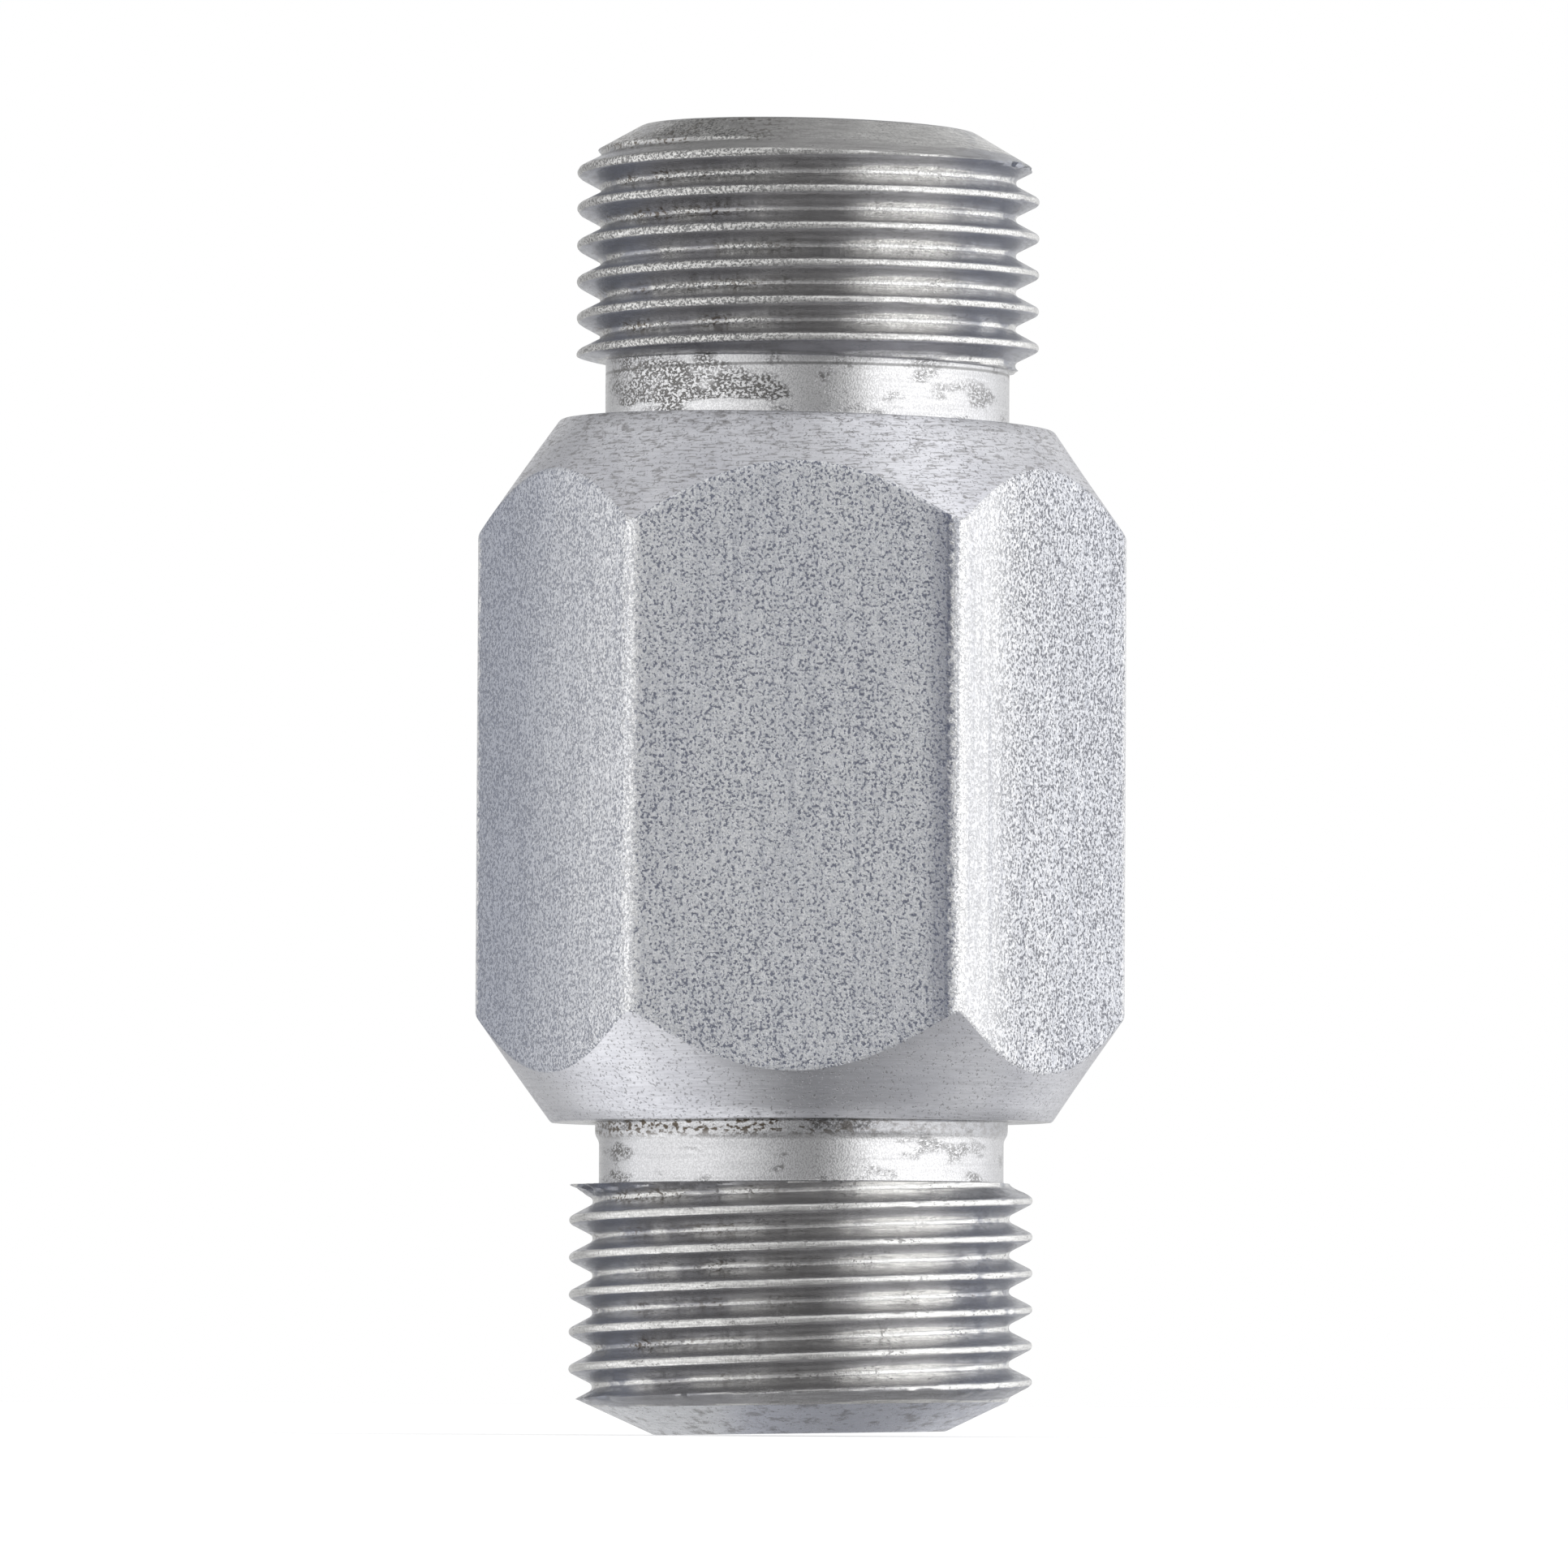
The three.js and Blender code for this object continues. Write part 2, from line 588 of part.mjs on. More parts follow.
const pieces = [
  ["housing", barSteel, housing()],
  ["filter_circlip", springSteel, filterCirclip()],
  ["inlet_filter", sinteredBronze, inletFilter()],
  ["filter_gasket", ptfe, filterGasket()],
  ["valve_seat", turnedSteel, valveSeat()],
  ["seat_oring", blackRubber, seatOring()],
  ["seal_screw", turnedSteel, sealScrew()],
  ["poppet_seal", blackRubber, poppetSeal()],
  ["poppet", turnedSteel, poppet()],
  ["valve_spring", springSteel, valveSpring()],
  ["valve_cage", turnedSteel, valveCage()],
  ["guide_bush", ptfe, guideBush()],
  ["wave_washer", springSteel, waveWasher()],
  ["spacer_sleeve", turnedSteel, spacerSleeve()],
  ["support_plate", turnedSteel, supportPlate()],
  ["rear_gasket", silicone, gasket(rearGasketBase)],
  ["diffuser_disc", ceramic, diffuserDisc()],
  ["front_gasket", silicone, gasket(frontGasketBase)],
  ["slip_washer", ptfe, slipWasher()],
  ["retaining_ring", turnedSteel, retainingRing()],
];

const diffuser = new THREE.Group();
for (const [name, material, solid] of pieces) {
  const mesh = new THREE.Mesh(toGeometry(solid), material);
  mesh.name = name;
  diffuser.add(mesh);
}

export default diffuser;
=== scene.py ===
"""The looks of an inline carbon dioxide diffuser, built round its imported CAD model.

Lengths in this script are millimetres unless a name ends in _M. Blender's own units are metres, so a mesh is
scaled by MM as it is made. +Z runs with the flow, and one pair of the hexagon's flats faces -Y and +Y.
"""
from collections import defaultdict
import math

import bmesh
import bpy
import numpy as np
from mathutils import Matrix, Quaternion, Vector, noise


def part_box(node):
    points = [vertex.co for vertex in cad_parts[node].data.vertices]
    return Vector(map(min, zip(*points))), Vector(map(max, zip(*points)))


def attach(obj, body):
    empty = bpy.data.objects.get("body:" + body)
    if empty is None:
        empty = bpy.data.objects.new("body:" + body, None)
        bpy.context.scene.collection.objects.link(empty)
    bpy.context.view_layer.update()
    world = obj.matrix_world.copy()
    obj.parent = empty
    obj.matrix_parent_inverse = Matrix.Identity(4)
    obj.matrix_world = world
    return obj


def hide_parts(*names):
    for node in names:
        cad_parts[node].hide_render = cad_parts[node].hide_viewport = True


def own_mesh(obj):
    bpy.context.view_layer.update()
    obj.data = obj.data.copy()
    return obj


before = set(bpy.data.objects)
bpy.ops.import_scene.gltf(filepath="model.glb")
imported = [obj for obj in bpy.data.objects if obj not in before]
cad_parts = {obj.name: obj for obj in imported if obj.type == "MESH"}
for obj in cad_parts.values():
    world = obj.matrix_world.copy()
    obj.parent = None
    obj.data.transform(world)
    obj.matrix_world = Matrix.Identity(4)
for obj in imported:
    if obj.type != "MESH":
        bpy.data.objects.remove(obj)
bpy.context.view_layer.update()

MM = 0.001
FULL_TURN = 2 * math.pi

# ---- Sizes that the CAD model gives -------------------------------------------------------------------


def node_box(node):
    """Lowest and highest corner of a CAD node, in millimetres."""
    low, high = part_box(node)
    return low / MM, high / MM


LENGTH = node_box("housing")[1].z
HALF_FLATS = node_box("housing")[1].y
CORNER_REACH = node_box("housing")[1].x

# ---- Sizes of the housing's details, as in the CAD model ----------------------------------------------

HEX_CORNER_RADIUS = 0.9
INLET_SHANK = 15.35
OUTLET_SHANK = 14.7
INLET_SHOULDER_RADIUS = 12.4
OUTLET_SHOULDER_RADIUS = 12.25
HEX_CHAMFER = math.radians(35)
NECK_RADIUS = 10.0
INLET_NECK = 3.05
OUTLET_NECK = 3.2
INLET_FACE_RADIUS = 7.2
OUTLET_FACE_RADIUS = 8.3
INLET_CHAMFER = 2.0
OUTLET_CHAMFER = 1.82
PORT_RADIUS = 4.0
PORT_DEPTH = 12.0
PORT_CHAMFER = 0.5
PASSAGE_RADIUS = 2.5
CHAMBER_FLOOR = 22.0
CHAMBER_RADIUS = 6.45
GROOVE_RADIUS = 4.4
GROOVE = (4.65, 5.55)
MOUTH_RADIUS = 7.05
RING_THREAD_DEPTH = 5.4
RING_DEPTH = 1.6  # the retaining ring's upper face lies this far below the outlet's end

# The CAD model's threads have the same diameters but flat crests. Here the crests and roots are arcs.
PIPE_THREAD = {"pitch": 25.4 / 14, "major": 11.455, "minor": 10.293, "half_angle": 27.5, "rounding": 0.249}
RING_THREAD = {"pitch": 1.0, "major": 7.0, "minor": 6.459, "half_angle": 30.0, "rounding": 0.12}
INLET_CREST = 10.55  # height of a crest on the -X side
OUTLET_CREST = 53.06
RING_THREAD_CLEARANCE = 0.08  # the retaining ring's thread is this much smaller in radius

# ---- Where the visual housing departs from the CAD model ----------------------------------------------

BAR_OVERSIZE = 0.08  # the bar is this much larger in radius than its nominal size
CROWN_START = 6.1  # distance from the middle of a flat at which it begins to fall away
CROWN_CURVE = 0.02  # how far it falls, times the square of the distance beyond
OUTLET_TILT = math.tan(math.radians(1.15))  # both ends were turned a little askew and off the bar's middle
OUTLET_OFFSET = 0.22
INLET_TILT = math.tan(math.radians(-0.3))
INLET_FACE_TILT = math.tan(math.radians(-1.0))
INLET_OFFSET = 0.11
HEX_EDGE = 0.16  # the worn edge between a cone and a flat reaches this far along both
NECK_FILLET = 0.2
# Thicker part of the inlet's neck, by its shoulder. Its slope is a little gentler than the CAD model's.
COLLAR = {"rise": 0.2, "width": 0.6, "slope_width": 0.35}
FLARE_SLOPE = 5.0  # the outlet's thread rises this steeply out of its neck
FLARE_LENGTH = 0.28  # from the flare's foot to the neck's nominal end
BORE_EDGE = 0.05  # radius of the edges in the bore

# ---- Sizes of the small pieces, as in the CAD model but for their fine edges --------------------------

BORE_FACETS = 28  # flat sides round the CAD model's turned pieces
INSERT_RADIUS = 6.35
INSERT_BORE = 5.3
ORING_CLEARANCE = 0.05  # the O-ring's inner side stands this far off its groove's floor
FLOW_HOLES = {"radius": 0.9, "rings": [(6, 3.95, 0)]}  # rings: count, distance from the axis, first angle
PLATE_HOLES = {"radius": 0.55, "rings": [(6, 1.75, 0), (12, 3.5, math.radians(15))]}
TOOL_MARGIN = 1  # a drill starts this far below a piece and ends this far above it
SCREW_SLOT = (0.5, 0.6)  # width, depth
SCREW_SAW = 4  # length of the block that cuts the slot
RING_SLOT = (1.6, 1.3)
RING_OPENING = 4.6
RING_FLARE = 0.5
RING_ENDS = {"foot": 0.1, "rim": 0.45, "rim_slope": 1.05, "lip": 0.05}  # chamfers that cut off its thread
RING_INSETS = (0.07, 0.03)  # from its lower and its upper face to its thread's mesh
SPRING_MEAN_RADIUS = 2.8
SPRING_WIRE_RADIUS = 0.2
SPRING_TURNS = 6.5
SPRING_END_GAP = 0.05  # between a closed end and the next turn
WAVE_SWING = 0.35
WAVE_COUNT = 3
CIRCLIP = {"outer": 4.3, "inner": 3.3, "lug": 0.85, "inset": 0.05, "hole": 0.42, "edge": 0.06}
CIRCLIP_HALF_GAP = math.radians(24)

# ---- Wear on the threads ------------------------------------------------------------------------------

CREST_RISE = (11.05, 11.4)  # radii between which a thread's flank becomes its crest
DENT_NOISE = {"fineness": (1.6, 1.6, 1.6), "shift": (0, 0, 0)}
DENT_DEPTH = 0.1
DENT_LEVEL = 0.15  # noise above this level makes a dent
CHIP_NOISE = {"fineness": (1.3, 1.3, 0.6), "shift": (9, 4, 7)}
CHIP_HEIGHTS = (61.7, 63.5)  # a bite out of the outlet's last crest
CHIP_AZIMUTHS = (-32, -22, 0, 8)  # in degrees: where it starts, is full, begins to fade and ends
CHIP_DEPTH = (0.28, 0.7)  # its mean, and what full noise adds
RAGGED_DEPTH = (0.16, 0.5)  # the same for the ragged ends of the inlet's thread
# The inlet's thread turns ragged just before its neck, and a little less on either side of its chamfer's end.
RUN_OUT = {"before_neck": (0.7, 0.2), "rise": (10.5, 11.0)}
LIP = {"reach": 0.3, "rise": (10.8, 11.2), "share": 0.7}

# ---- How the meshes are divided and joined ------------------------------------------------------------

HOUSING_COLUMNS = 168
EDGE_STEPS = (0, 0.25, 0.5, 0.75, 1)  # shares of the arc between a cone and a flat
CONE_STEPS = (0.015, 0.25, 0.5, 0.75)  # shares of a cone's reach
FLAT_STEPS = 24
THREAD_STEPS = (5, 5)  # over each crest or root, and over each flank
BORE_THREAD_STEPS = (2, 3)
RING_THREAD_STEPS = (3, 3)
COLUMNS = 96  # round a small piece
FINE_COLUMNS = 128
WAVE_COLUMNS = 144
SECTION_STEPS = 28  # round the section of the O-ring, and round an eyelet
COIL_STEPS = 48  # along each turn of the spring
CLIP_STEPS = 96  # along each arc of the circlip
HOLE_STEPS = 24  # round an eyelet's hole
THREAD_OVERLAP = 0.03  # a thread's mesh runs this far into the chamfer that cuts it off
FLARE_OVERLAP = 0.02  # the same for the outlet's flare
SHOULDER_GUARDS = (0.04, 0.12)  # extra rings this far in from a shoulder's edge keep its shading even
MOUTH_EDGE = 0.07  # the mesh of the bore's thread starts this far below the outlet's end
SMOOTH_UP_TO = math.radians(32)  # edges sharper than this stay sharp
WIRE_SMOOTH_UP_TO = math.radians(40)


# ---- Mesh building ------------------------------------------------------------------------------------


def linked(name, data):
    """A new object in the scene."""
    made = bpy.data.objects.new(name, data)
    bpy.context.scene.collection.objects.link(made)
    return made


def smooth(mesh, up_to=SMOOTH_UP_TO):
    mesh.shade_smooth()
    mesh.set_sharp_from_angle(angle=up_to)


def shape_of(piece):
    """A new mesh with the object's shape as its modifiers or its curve settings make it."""
    bpy.context.view_layer.update()
    return bpy.data.meshes.new_from_object(piece.evaluated_get(bpy.context.evaluated_depsgraph_get()))


def make_object(name, vertices, faces, materials=(), face_materials=None):
    """A mesh object from vertices in millimetres."""
    mesh = bpy.data.meshes.new(name)
    mesh.from_pydata(np.asarray(vertices) * MM, [], faces)
    for material in materials:
        mesh.materials.append(material)
    if face_materials is not None:
        mesh.polygons.foreach_set("material_index", face_materials)
    smooth(mesh)
    mesh.validate()
    return linked(name, mesh)


def rounded(corners, radius=0.12, steps=3):
    """A polyline of [radius, height] corners with each inner corner turned into a small arc.

    A point just outside each arc keeps its shading off the straight stretches.
    """
    corners = [np.array(corner, float) for corner in corners]
    path = [corners[0]]
    for before, here, after in zip(corners, corners[1:], corners[2:]):
        back, ahead = before - here, after - here
        reach = min(radius, 0.4 * np.linalg.norm(back), 0.4 * np.linalg.norm(ahead))
        start = here + back / np.linalg.norm(back) * reach
        end = here + ahead / np.linalg.norm(ahead) * reach
        path.append(start + (start - here) * 0.2)
        for share in np.linspace(0, 1, steps + 1):
            path.append((1 - share) ** 2 * start + 2 * share * (1 - share) * here + share**2 * end)
        path.append(end + (end - here) * 0.2)
    path.append(corners[-1])
    return np.array(path)


def thread_drop(axial, thread):
    """How far below the crest the thread's surface lies, at an axial distance from the crest's middle.

    Crest and root are arcs of one radius, and the flank between them is straight.
    """
    pitch = thread["pitch"]
    rounding = thread["rounding"]
    height = thread["major"] - thread["minor"]
    angle = math.radians(thread["half_angle"])
    away = np.abs((axial + pitch / 2) % pitch - pitch / 2)
    tangent = rounding * math.cos(angle)
    crest = rounding - np.sqrt(np.maximum(rounding**2 - away**2, 0))
    from_root = pitch / 2 - away
    root = height - (rounding - np.sqrt(np.maximum(rounding**2 - from_root**2, 0)))
    arc_drop = rounding * (1 - math.sin(angle))
    share = (away - tangent) / (pitch / 2 - 2 * tangent)
    flank = arc_drop + share * (height - 2 * arc_drop)
    return np.where(away < tangent, crest, np.where(from_root < tangent, root, flank))


def slanting(radius, height, slope):
    """A line in the section through a point, as a function from a height to the line's radius there."""
    return lambda at: radius + slope * (at - height)


def crested(radius, *limits):
    """An outside thread's surface: crests at the radius, cut off wherever a limiting line runs lower."""
    return lambda drop, height: np.minimum.reduce([radius - drop, *(limit(height) for limit in limits)])


def thread_phases(thread, arc_steps, flank_steps):
    """Axial offsets from a crest's middle, over one pitch, at which the thread's form gets a mesh row."""
    pitch = thread["pitch"]
    tangent = thread["rounding"] * math.cos(math.radians(thread["half_angle"]))
    crest = np.linspace(-tangent, tangent, arc_steps + 1)[:-1]
    falling = np.linspace(tangent, pitch / 2 - tangent, flank_steps + 1)[:-1]
    root = np.linspace(pitch / 2 - tangent, pitch / 2 + tangent, arc_steps + 1)[:-1]
    rising = np.linspace(pitch / 2 + tangent, pitch - tangent, flank_steps + 1)[:-1]
    return np.concatenate([crest, falling, root, rising])


class RingMesh:
    """A closed surface made of rings, each a radius and a height at every column's angle.

    The last column repeats the first one, and welding joins them. A helical stretch has rows that climb a
    pitch in a turn. Beyond its ends they are squeezed onto the end ring, and welding removes what is flat.
    """

    def __init__(self, angles):
        self.angles = np.append(angles, FULL_TURN)
        self.radii, self.heights, self.zones = [], [], []

    def add(self, radii, heights, zone):
        """A ring. zone is the material of the faces between it and the next ring."""
        count = len(self.angles)
        self.radii.append(np.broadcast_to(radii, count))
        self.heights.append(np.broadcast_to(heights, count))
        self.zones.append(zone)

    def add_path(self, path, zone):
        for radius, height in path:
            self.add(radius, height, zone)

    def add_thread(self, thread, crest, low, high, surface, zone, steps, downwards=False):
        """A helical stretch between two heights. surface(drop, heights) makes radii of the thread's form."""
        pitch = thread["pitch"]
        crest_at_seam = crest - pitch / 2  # the -X side is half a turn round
        climb = pitch * self.angles / FULL_TURN
        first = math.floor((low - crest_at_seam) / pitch) - 2
        last = math.ceil((high - crest_at_seam) / pitch)
        crests = crest_at_seam + pitch * np.arange(first, last + 1)
        rows = (crests[:, None] + thread_phases(thread, *steps)).ravel()
        rows = [low - pitch, *rows[(rows > low - pitch) & (rows < high)], high]
        for row in reversed(rows) if downwards else rows:
            heights = np.clip(row + climb, low, high)
            drop = thread_drop(heights - crest_at_seam - climb, thread)
            self.add(surface(drop, heights), heights, zone)

    def build(self, name, materials, wear=None):
        """The object. wear(points, zone) may move each row's points before they are joined."""
        columns, rows = len(self.angles), len(self.radii)
        points = []
        for radii, heights, zone in zip(self.radii, self.heights, self.zones):
            ring = np.stack([radii * np.cos(self.angles), radii * np.sin(self.angles), heights], 1)
            points.append(wear(ring, zone) if wear else ring)
        row = np.arange(rows)[:, None] * columns
        above = np.roll(row, -1, 0)
        here = np.arange(columns - 1)[None, :]
        quads = np.stack([row + here, row + here + 1, above + here + 1, above + here], 2).reshape(-1, 4)
        zones = np.repeat(self.zones, columns - 1)
        vertices, faces, kept = welded(np.concatenate(points), quads)
        return make_object(name, vertices, faces, materials, zones[kept])


def welded(points, quads):
    """Points merged where they meet, faces without their merged corners, and which quads are left."""
    _, first, merged = np.unique(np.round(points, 5), axis=0, return_index=True, return_inverse=True)
    faces, kept = [], []
    for index, quad in enumerate(merged.reshape(-1)[quads].tolist()):
        face = [corner for i, corner in enumerate(quad) if corner != quad[i - 1]]
        if len(set(face)) == len(face) > 2:
            faces.append(face)
            kept.append(index)
    return points[first], faces, kept


# ---- Housing ------------------------------------------------------------------------------------------

FLATS, TURNED, NECKS, THREADS, BORE = range(5)  # zones of the housing, and their material slots


def even_columns(count=COLUMNS):
    return np.arange(count) * FULL_TURN / count


def column_angles():
    """Even columns all round, with more of them on the rounded corners of the hexagon."""
    even = even_columns(HOUSING_COLUMNS)
    reach = math.pi / 6 - math.atan((HALF_FLATS - HEX_CORNER_RADIUS) * math.tan(math.pi / 6) / HALF_FLATS)
    offsets = reach * np.array([-1.15, -1, -0.67, -0.33, 0.33, 0.67, 1, 1.15])
    corners = (np.arange(6)[:, None] * math.pi / 3 + offsets).ravel() % FULL_TURN
    return np.sort(np.concatenate([even, corners]))


def hexagon_radius(angles):
    """Distance from the axis to the hexagon's outline.

    Its corners are round, and drawing the bar has left the flats falling away a little towards them.
    """
    from_corner = (angles + math.pi / 6) % (math.pi / 3) - math.pi / 6
    from_flat = math.pi / 6 - np.abs(from_corner)
    tangent = (HALF_FLATS - HEX_CORNER_RADIUS) * math.tan(math.pi / 6)
    along_flat = np.minimum(HALF_FLATS * np.tan(from_flat), tangent)
    fall = CROWN_CURVE * np.maximum(along_flat - CROWN_START, 0) ** 2
    flat = (HALF_FLATS - fall) / np.cos(from_flat)
    centre = CORNER_REACH - HEX_CORNER_RADIUS - fall / math.cos(math.pi / 6)
    inside = np.maximum(HEX_CORNER_RADIUS**2 - (centre * np.sin(from_corner)) ** 2, 0)
    arc = centre * np.cos(from_corner) + np.sqrt(inside)
    return np.where(along_flat < tangent, flat, arc) + BAR_OVERSIZE


def add_hexagon(rings):
    """The chamfered hexagon. Each column's rows end exactly on the curve where a cone meets the flat."""
    outline = hexagon_radius(rings.angles)
    inlet_reach, outlet_reach = outline - INLET_SHOULDER_RADIUS, outline - OUTLET_SHOULDER_RADIUS
    slope = 1 / math.tan(HEX_CHAMFER)
    top = LENGTH - OUTLET_SHANK
    low, high = INLET_SHANK + inlet_reach * slope, top - outlet_reach * slope
    for share in CONE_STEPS:
        reach = share * inlet_reach
        rings.add(INLET_SHOULDER_RADIUS + reach, INLET_SHANK + reach * slope, TURNED)
    add_edge(rings, outline, low, FLATS, upwards=True)
    for share in np.linspace(0, 1, FLAT_STEPS + 1)[1:-1]:
        rings.add(outline, low + HEX_EDGE + share * (high - low - 2 * HEX_EDGE), FLATS)
    add_edge(rings, outline, high, TURNED, upwards=False)
    for share in reversed(CONE_STEPS):
        reach = share * outlet_reach
        rings.add(OUTLET_SHOULDER_RADIUS + reach, top - reach * slope, TURNED)


def add_edge(rings, outline, height, last_zone, upwards):
    """The worn edge between a cone and the flats: a small arc, from the lower of the two to the upper."""
    if upwards:
        before, after = (-math.sin(HEX_CHAMFER), -math.cos(HEX_CHAMFER)), (0, 1)
    else:
        before, after = (0, -1), (-math.sin(HEX_CHAMFER), math.cos(HEX_CHAMFER))
    for share in EDGE_STEPS:
        step = HEX_EDGE * ((1 - share) ** 2 * np.array(before) + share**2 * np.array(after))
        rings.add(outline + step[0], height + step[1], last_zone if share == 1 else FLATS)


def add_inlet_shank(rings):
    """From the inlet's face to its shoulder: chamfer, thread and neck."""
    slope = (PIPE_THREAD["major"] - INLET_FACE_RADIUS) / INLET_CHAMFER
    cone = slanting(INLET_FACE_RADIUS, 0, slope)
    thread_start = (PIPE_THREAD["minor"] - INLET_FACE_RADIUS) / slope - THREAD_OVERLAP
    thread_end = INLET_SHANK - INLET_NECK
    face = [
        (PORT_RADIUS, PORT_CHAMFER),
        (PORT_RADIUS + PORT_CHAMFER, 0),
        (INLET_FACE_RADIUS, 0),
        (cone(thread_start), thread_start),
    ]
    rings.add_path(rounded(face)[1:-1], TURNED)
    surface = crested(PIPE_THREAD["major"], cone)
    rings.add_thread(PIPE_THREAD, INLET_CREST, thread_start, thread_end, surface, THREADS, THREAD_STEPS)
    collar_radius, collar_start = NECK_RADIUS + COLLAR["rise"], INLET_SHANK - COLLAR["width"]
    neck = [
        (PIPE_THREAD["minor"], thread_end),
        (NECK_RADIUS, thread_end),
        (NECK_RADIUS, collar_start - COLLAR["slope_width"]),
        (collar_radius, collar_start),
        (collar_radius, INLET_SHANK),
        (INLET_SHOULDER_RADIUS, INLET_SHANK),
    ]
    rings.add_path(rounded(neck, NECK_FILLET)[1:-1], NECKS)
    for inset in reversed(SHOULDER_GUARDS):
        rings.add(INLET_SHOULDER_RADIUS - inset, INLET_SHANK, TURNED)


def add_outlet_shank(rings):
    """From the outlet's shoulder to its face: neck, flare, thread and chamfer."""
    shoulder = LENGTH - OUTLET_SHANK
    slope = (PIPE_THREAD["major"] - OUTLET_FACE_RADIUS) / OUTLET_CHAMFER
    cone = slanting(OUTLET_FACE_RADIUS, LENGTH, -slope)
    flare_start = shoulder + OUTLET_NECK - FLARE_LENGTH
    flare = slanting(NECK_RADIUS, flare_start, FLARE_SLOPE)
    thread_start = flare_start + (PIPE_THREAD["minor"] - NECK_RADIUS) / FLARE_SLOPE - FLARE_OVERLAP
    thread_end = LENGTH - (PIPE_THREAD["minor"] - OUTLET_FACE_RADIUS) / slope + THREAD_OVERLAP
    for inset in SHOULDER_GUARDS:
        rings.add(OUTLET_SHOULDER_RADIUS - inset, shoulder, TURNED)
    neck = [
        (OUTLET_SHOULDER_RADIUS, shoulder),
        (NECK_RADIUS, shoulder),
        (NECK_RADIUS, flare_start),
        (flare(thread_start), thread_start),
    ]
    rings.add_path(rounded(neck, NECK_FILLET)[1:-1], NECKS)
    surface = crested(PIPE_THREAD["major"], flare, cone)
    rings.add_thread(PIPE_THREAD, OUTLET_CREST, thread_start, thread_end, surface, THREADS, THREAD_STEPS)
    face = [
        (cone(thread_end), thread_end),
        (OUTLET_FACE_RADIUS, LENGTH),
        (MOUTH_RADIUS, LENGTH),
        (MOUTH_RADIUS - PORT_CHAMFER, LENGTH - PORT_CHAMFER),
    ]
    rings.add_path(rounded(face)[1:-1], TURNED)


def add_bore(rings):
    """Everything inside, from the outlet's mouth down to the inlet's."""
    thread_low = LENGTH - RING_THREAD_DEPTH
    mouth = slanting(MOUTH_RADIUS, LENGTH, 1)
    crest = LENGTH - RING_DEPTH + RING_THREAD["pitch"] / 2
    high = LENGTH - MOUTH_EDGE

    def surface(drop, height):
        return np.maximum(RING_THREAD["minor"] + drop, mouth(height))

    rings.add_thread(RING_THREAD, crest, thread_low, high, surface, BORE, BORE_THREAD_STEPS, downwards=True)
    bore = [
        (RING_THREAD["minor"], thread_low),
        (CHAMBER_RADIUS, thread_low),
        (CHAMBER_RADIUS, CHAMBER_FLOOR),
        (PASSAGE_RADIUS, CHAMBER_FLOOR),
        (PASSAGE_RADIUS, PORT_DEPTH),
        (PORT_RADIUS, PORT_DEPTH),
        (PORT_RADIUS, GROOVE[1]),
        (GROOVE_RADIUS, GROOVE[1]),
        (GROOVE_RADIUS, GROOVE[0]),
        (PORT_RADIUS, GROOVE[0]),
        (PORT_RADIUS, PORT_CHAMFER),
        (PORT_RADIUS + PORT_CHAMFER, 0),
    ]
    rings.add_path(rounded(bore, BORE_EDGE, 1)[1:-1], BORE)


def smooth_step(value, low, high):
    share = np.clip((value - low) / (high - low), 0, 1)
    return share * share * (3 - 2 * share)


def askew(points, zone):
    """A row of points, moved if it belongs to the outside of an end, because both ends stand askew."""
    if zone == BORE:
        return points
    x, y, z = points.T
    inwards = HALF_FLATS - np.hypot(x, y)
    outlet = smooth_step(inwards, 0, HALF_FLATS - OUTLET_SHOULDER_RADIUS) * (z > LENGTH / 2)
    inlet = smooth_step(inwards, 0, HALF_FLATS - INLET_SHOULDER_RADIUS) * (z < LENGTH / 2)
    inlet_tilt = INLET_FACE_TILT + (INLET_TILT - INLET_FACE_TILT) * smooth_step(z, 0, INLET_SHANK)
    sideways = outlet * OUTLET_OFFSET + inlet * INLET_OFFSET
    sinking = outlet * OUTLET_TILT + inlet * inlet_tilt
    return np.stack([x + sideways, y, z - x * sinking], 1)


def noise_at(points, fineness, shift):
    """Noise from -1 to 1 at each point."""
    return np.array([noise.noise(Vector(point) * Vector(fineness) + Vector(shift)) for point in points])


def nicked(points):
    """A row of thread points with small dents along the crests, and ragged places where the tool left off."""
    x, y, z = points.T
    radius = np.hypot(x, y)
    azimuth = np.degrees(np.arctan2(y, x))
    on_crest = smooth_step(radius, *CREST_RISE)
    low, high = CHIP_HEIGHTS
    start, full, fading, end = CHIP_AZIMUTHS
    chipped = (z > low) * (z < high) * smooth_step(azimuth, start, full) * smooth_step(azimuth, end, fading)
    neck = INLET_SHANK - INLET_NECK
    far, near = RUN_OUT["before_neck"]
    run_out = smooth_step(z, neck - far, neck - near) * (z < INLET_SHANK)
    run_out *= smooth_step(radius, *RUN_OUT["rise"])
    lip = smooth_step(z, INLET_CHAMFER + LIP["reach"], INLET_CHAMFER - LIP["reach"])
    lip *= smooth_step(radius, *LIP["rise"])
    dents = noise_at(points, **DENT_NOISE)
    chips = noise_at(points, **CHIP_NOISE)
    depth = on_crest * DENT_DEPTH * np.maximum(dents - DENT_LEVEL, 0)
    depth += chipped * on_crest * (CHIP_DEPTH[0] + CHIP_DEPTH[1] * chips)
    depth += (run_out + LIP["share"] * lip) * (RAGGED_DEPTH[0] + RAGGED_DEPTH[1] * chips)
    return points * np.stack([1 - depth / radius, 1 - depth / radius, np.ones(len(z))], 1)


def worn(points, zone):
    return askew(nicked(points) if zone == THREADS else points, zone)


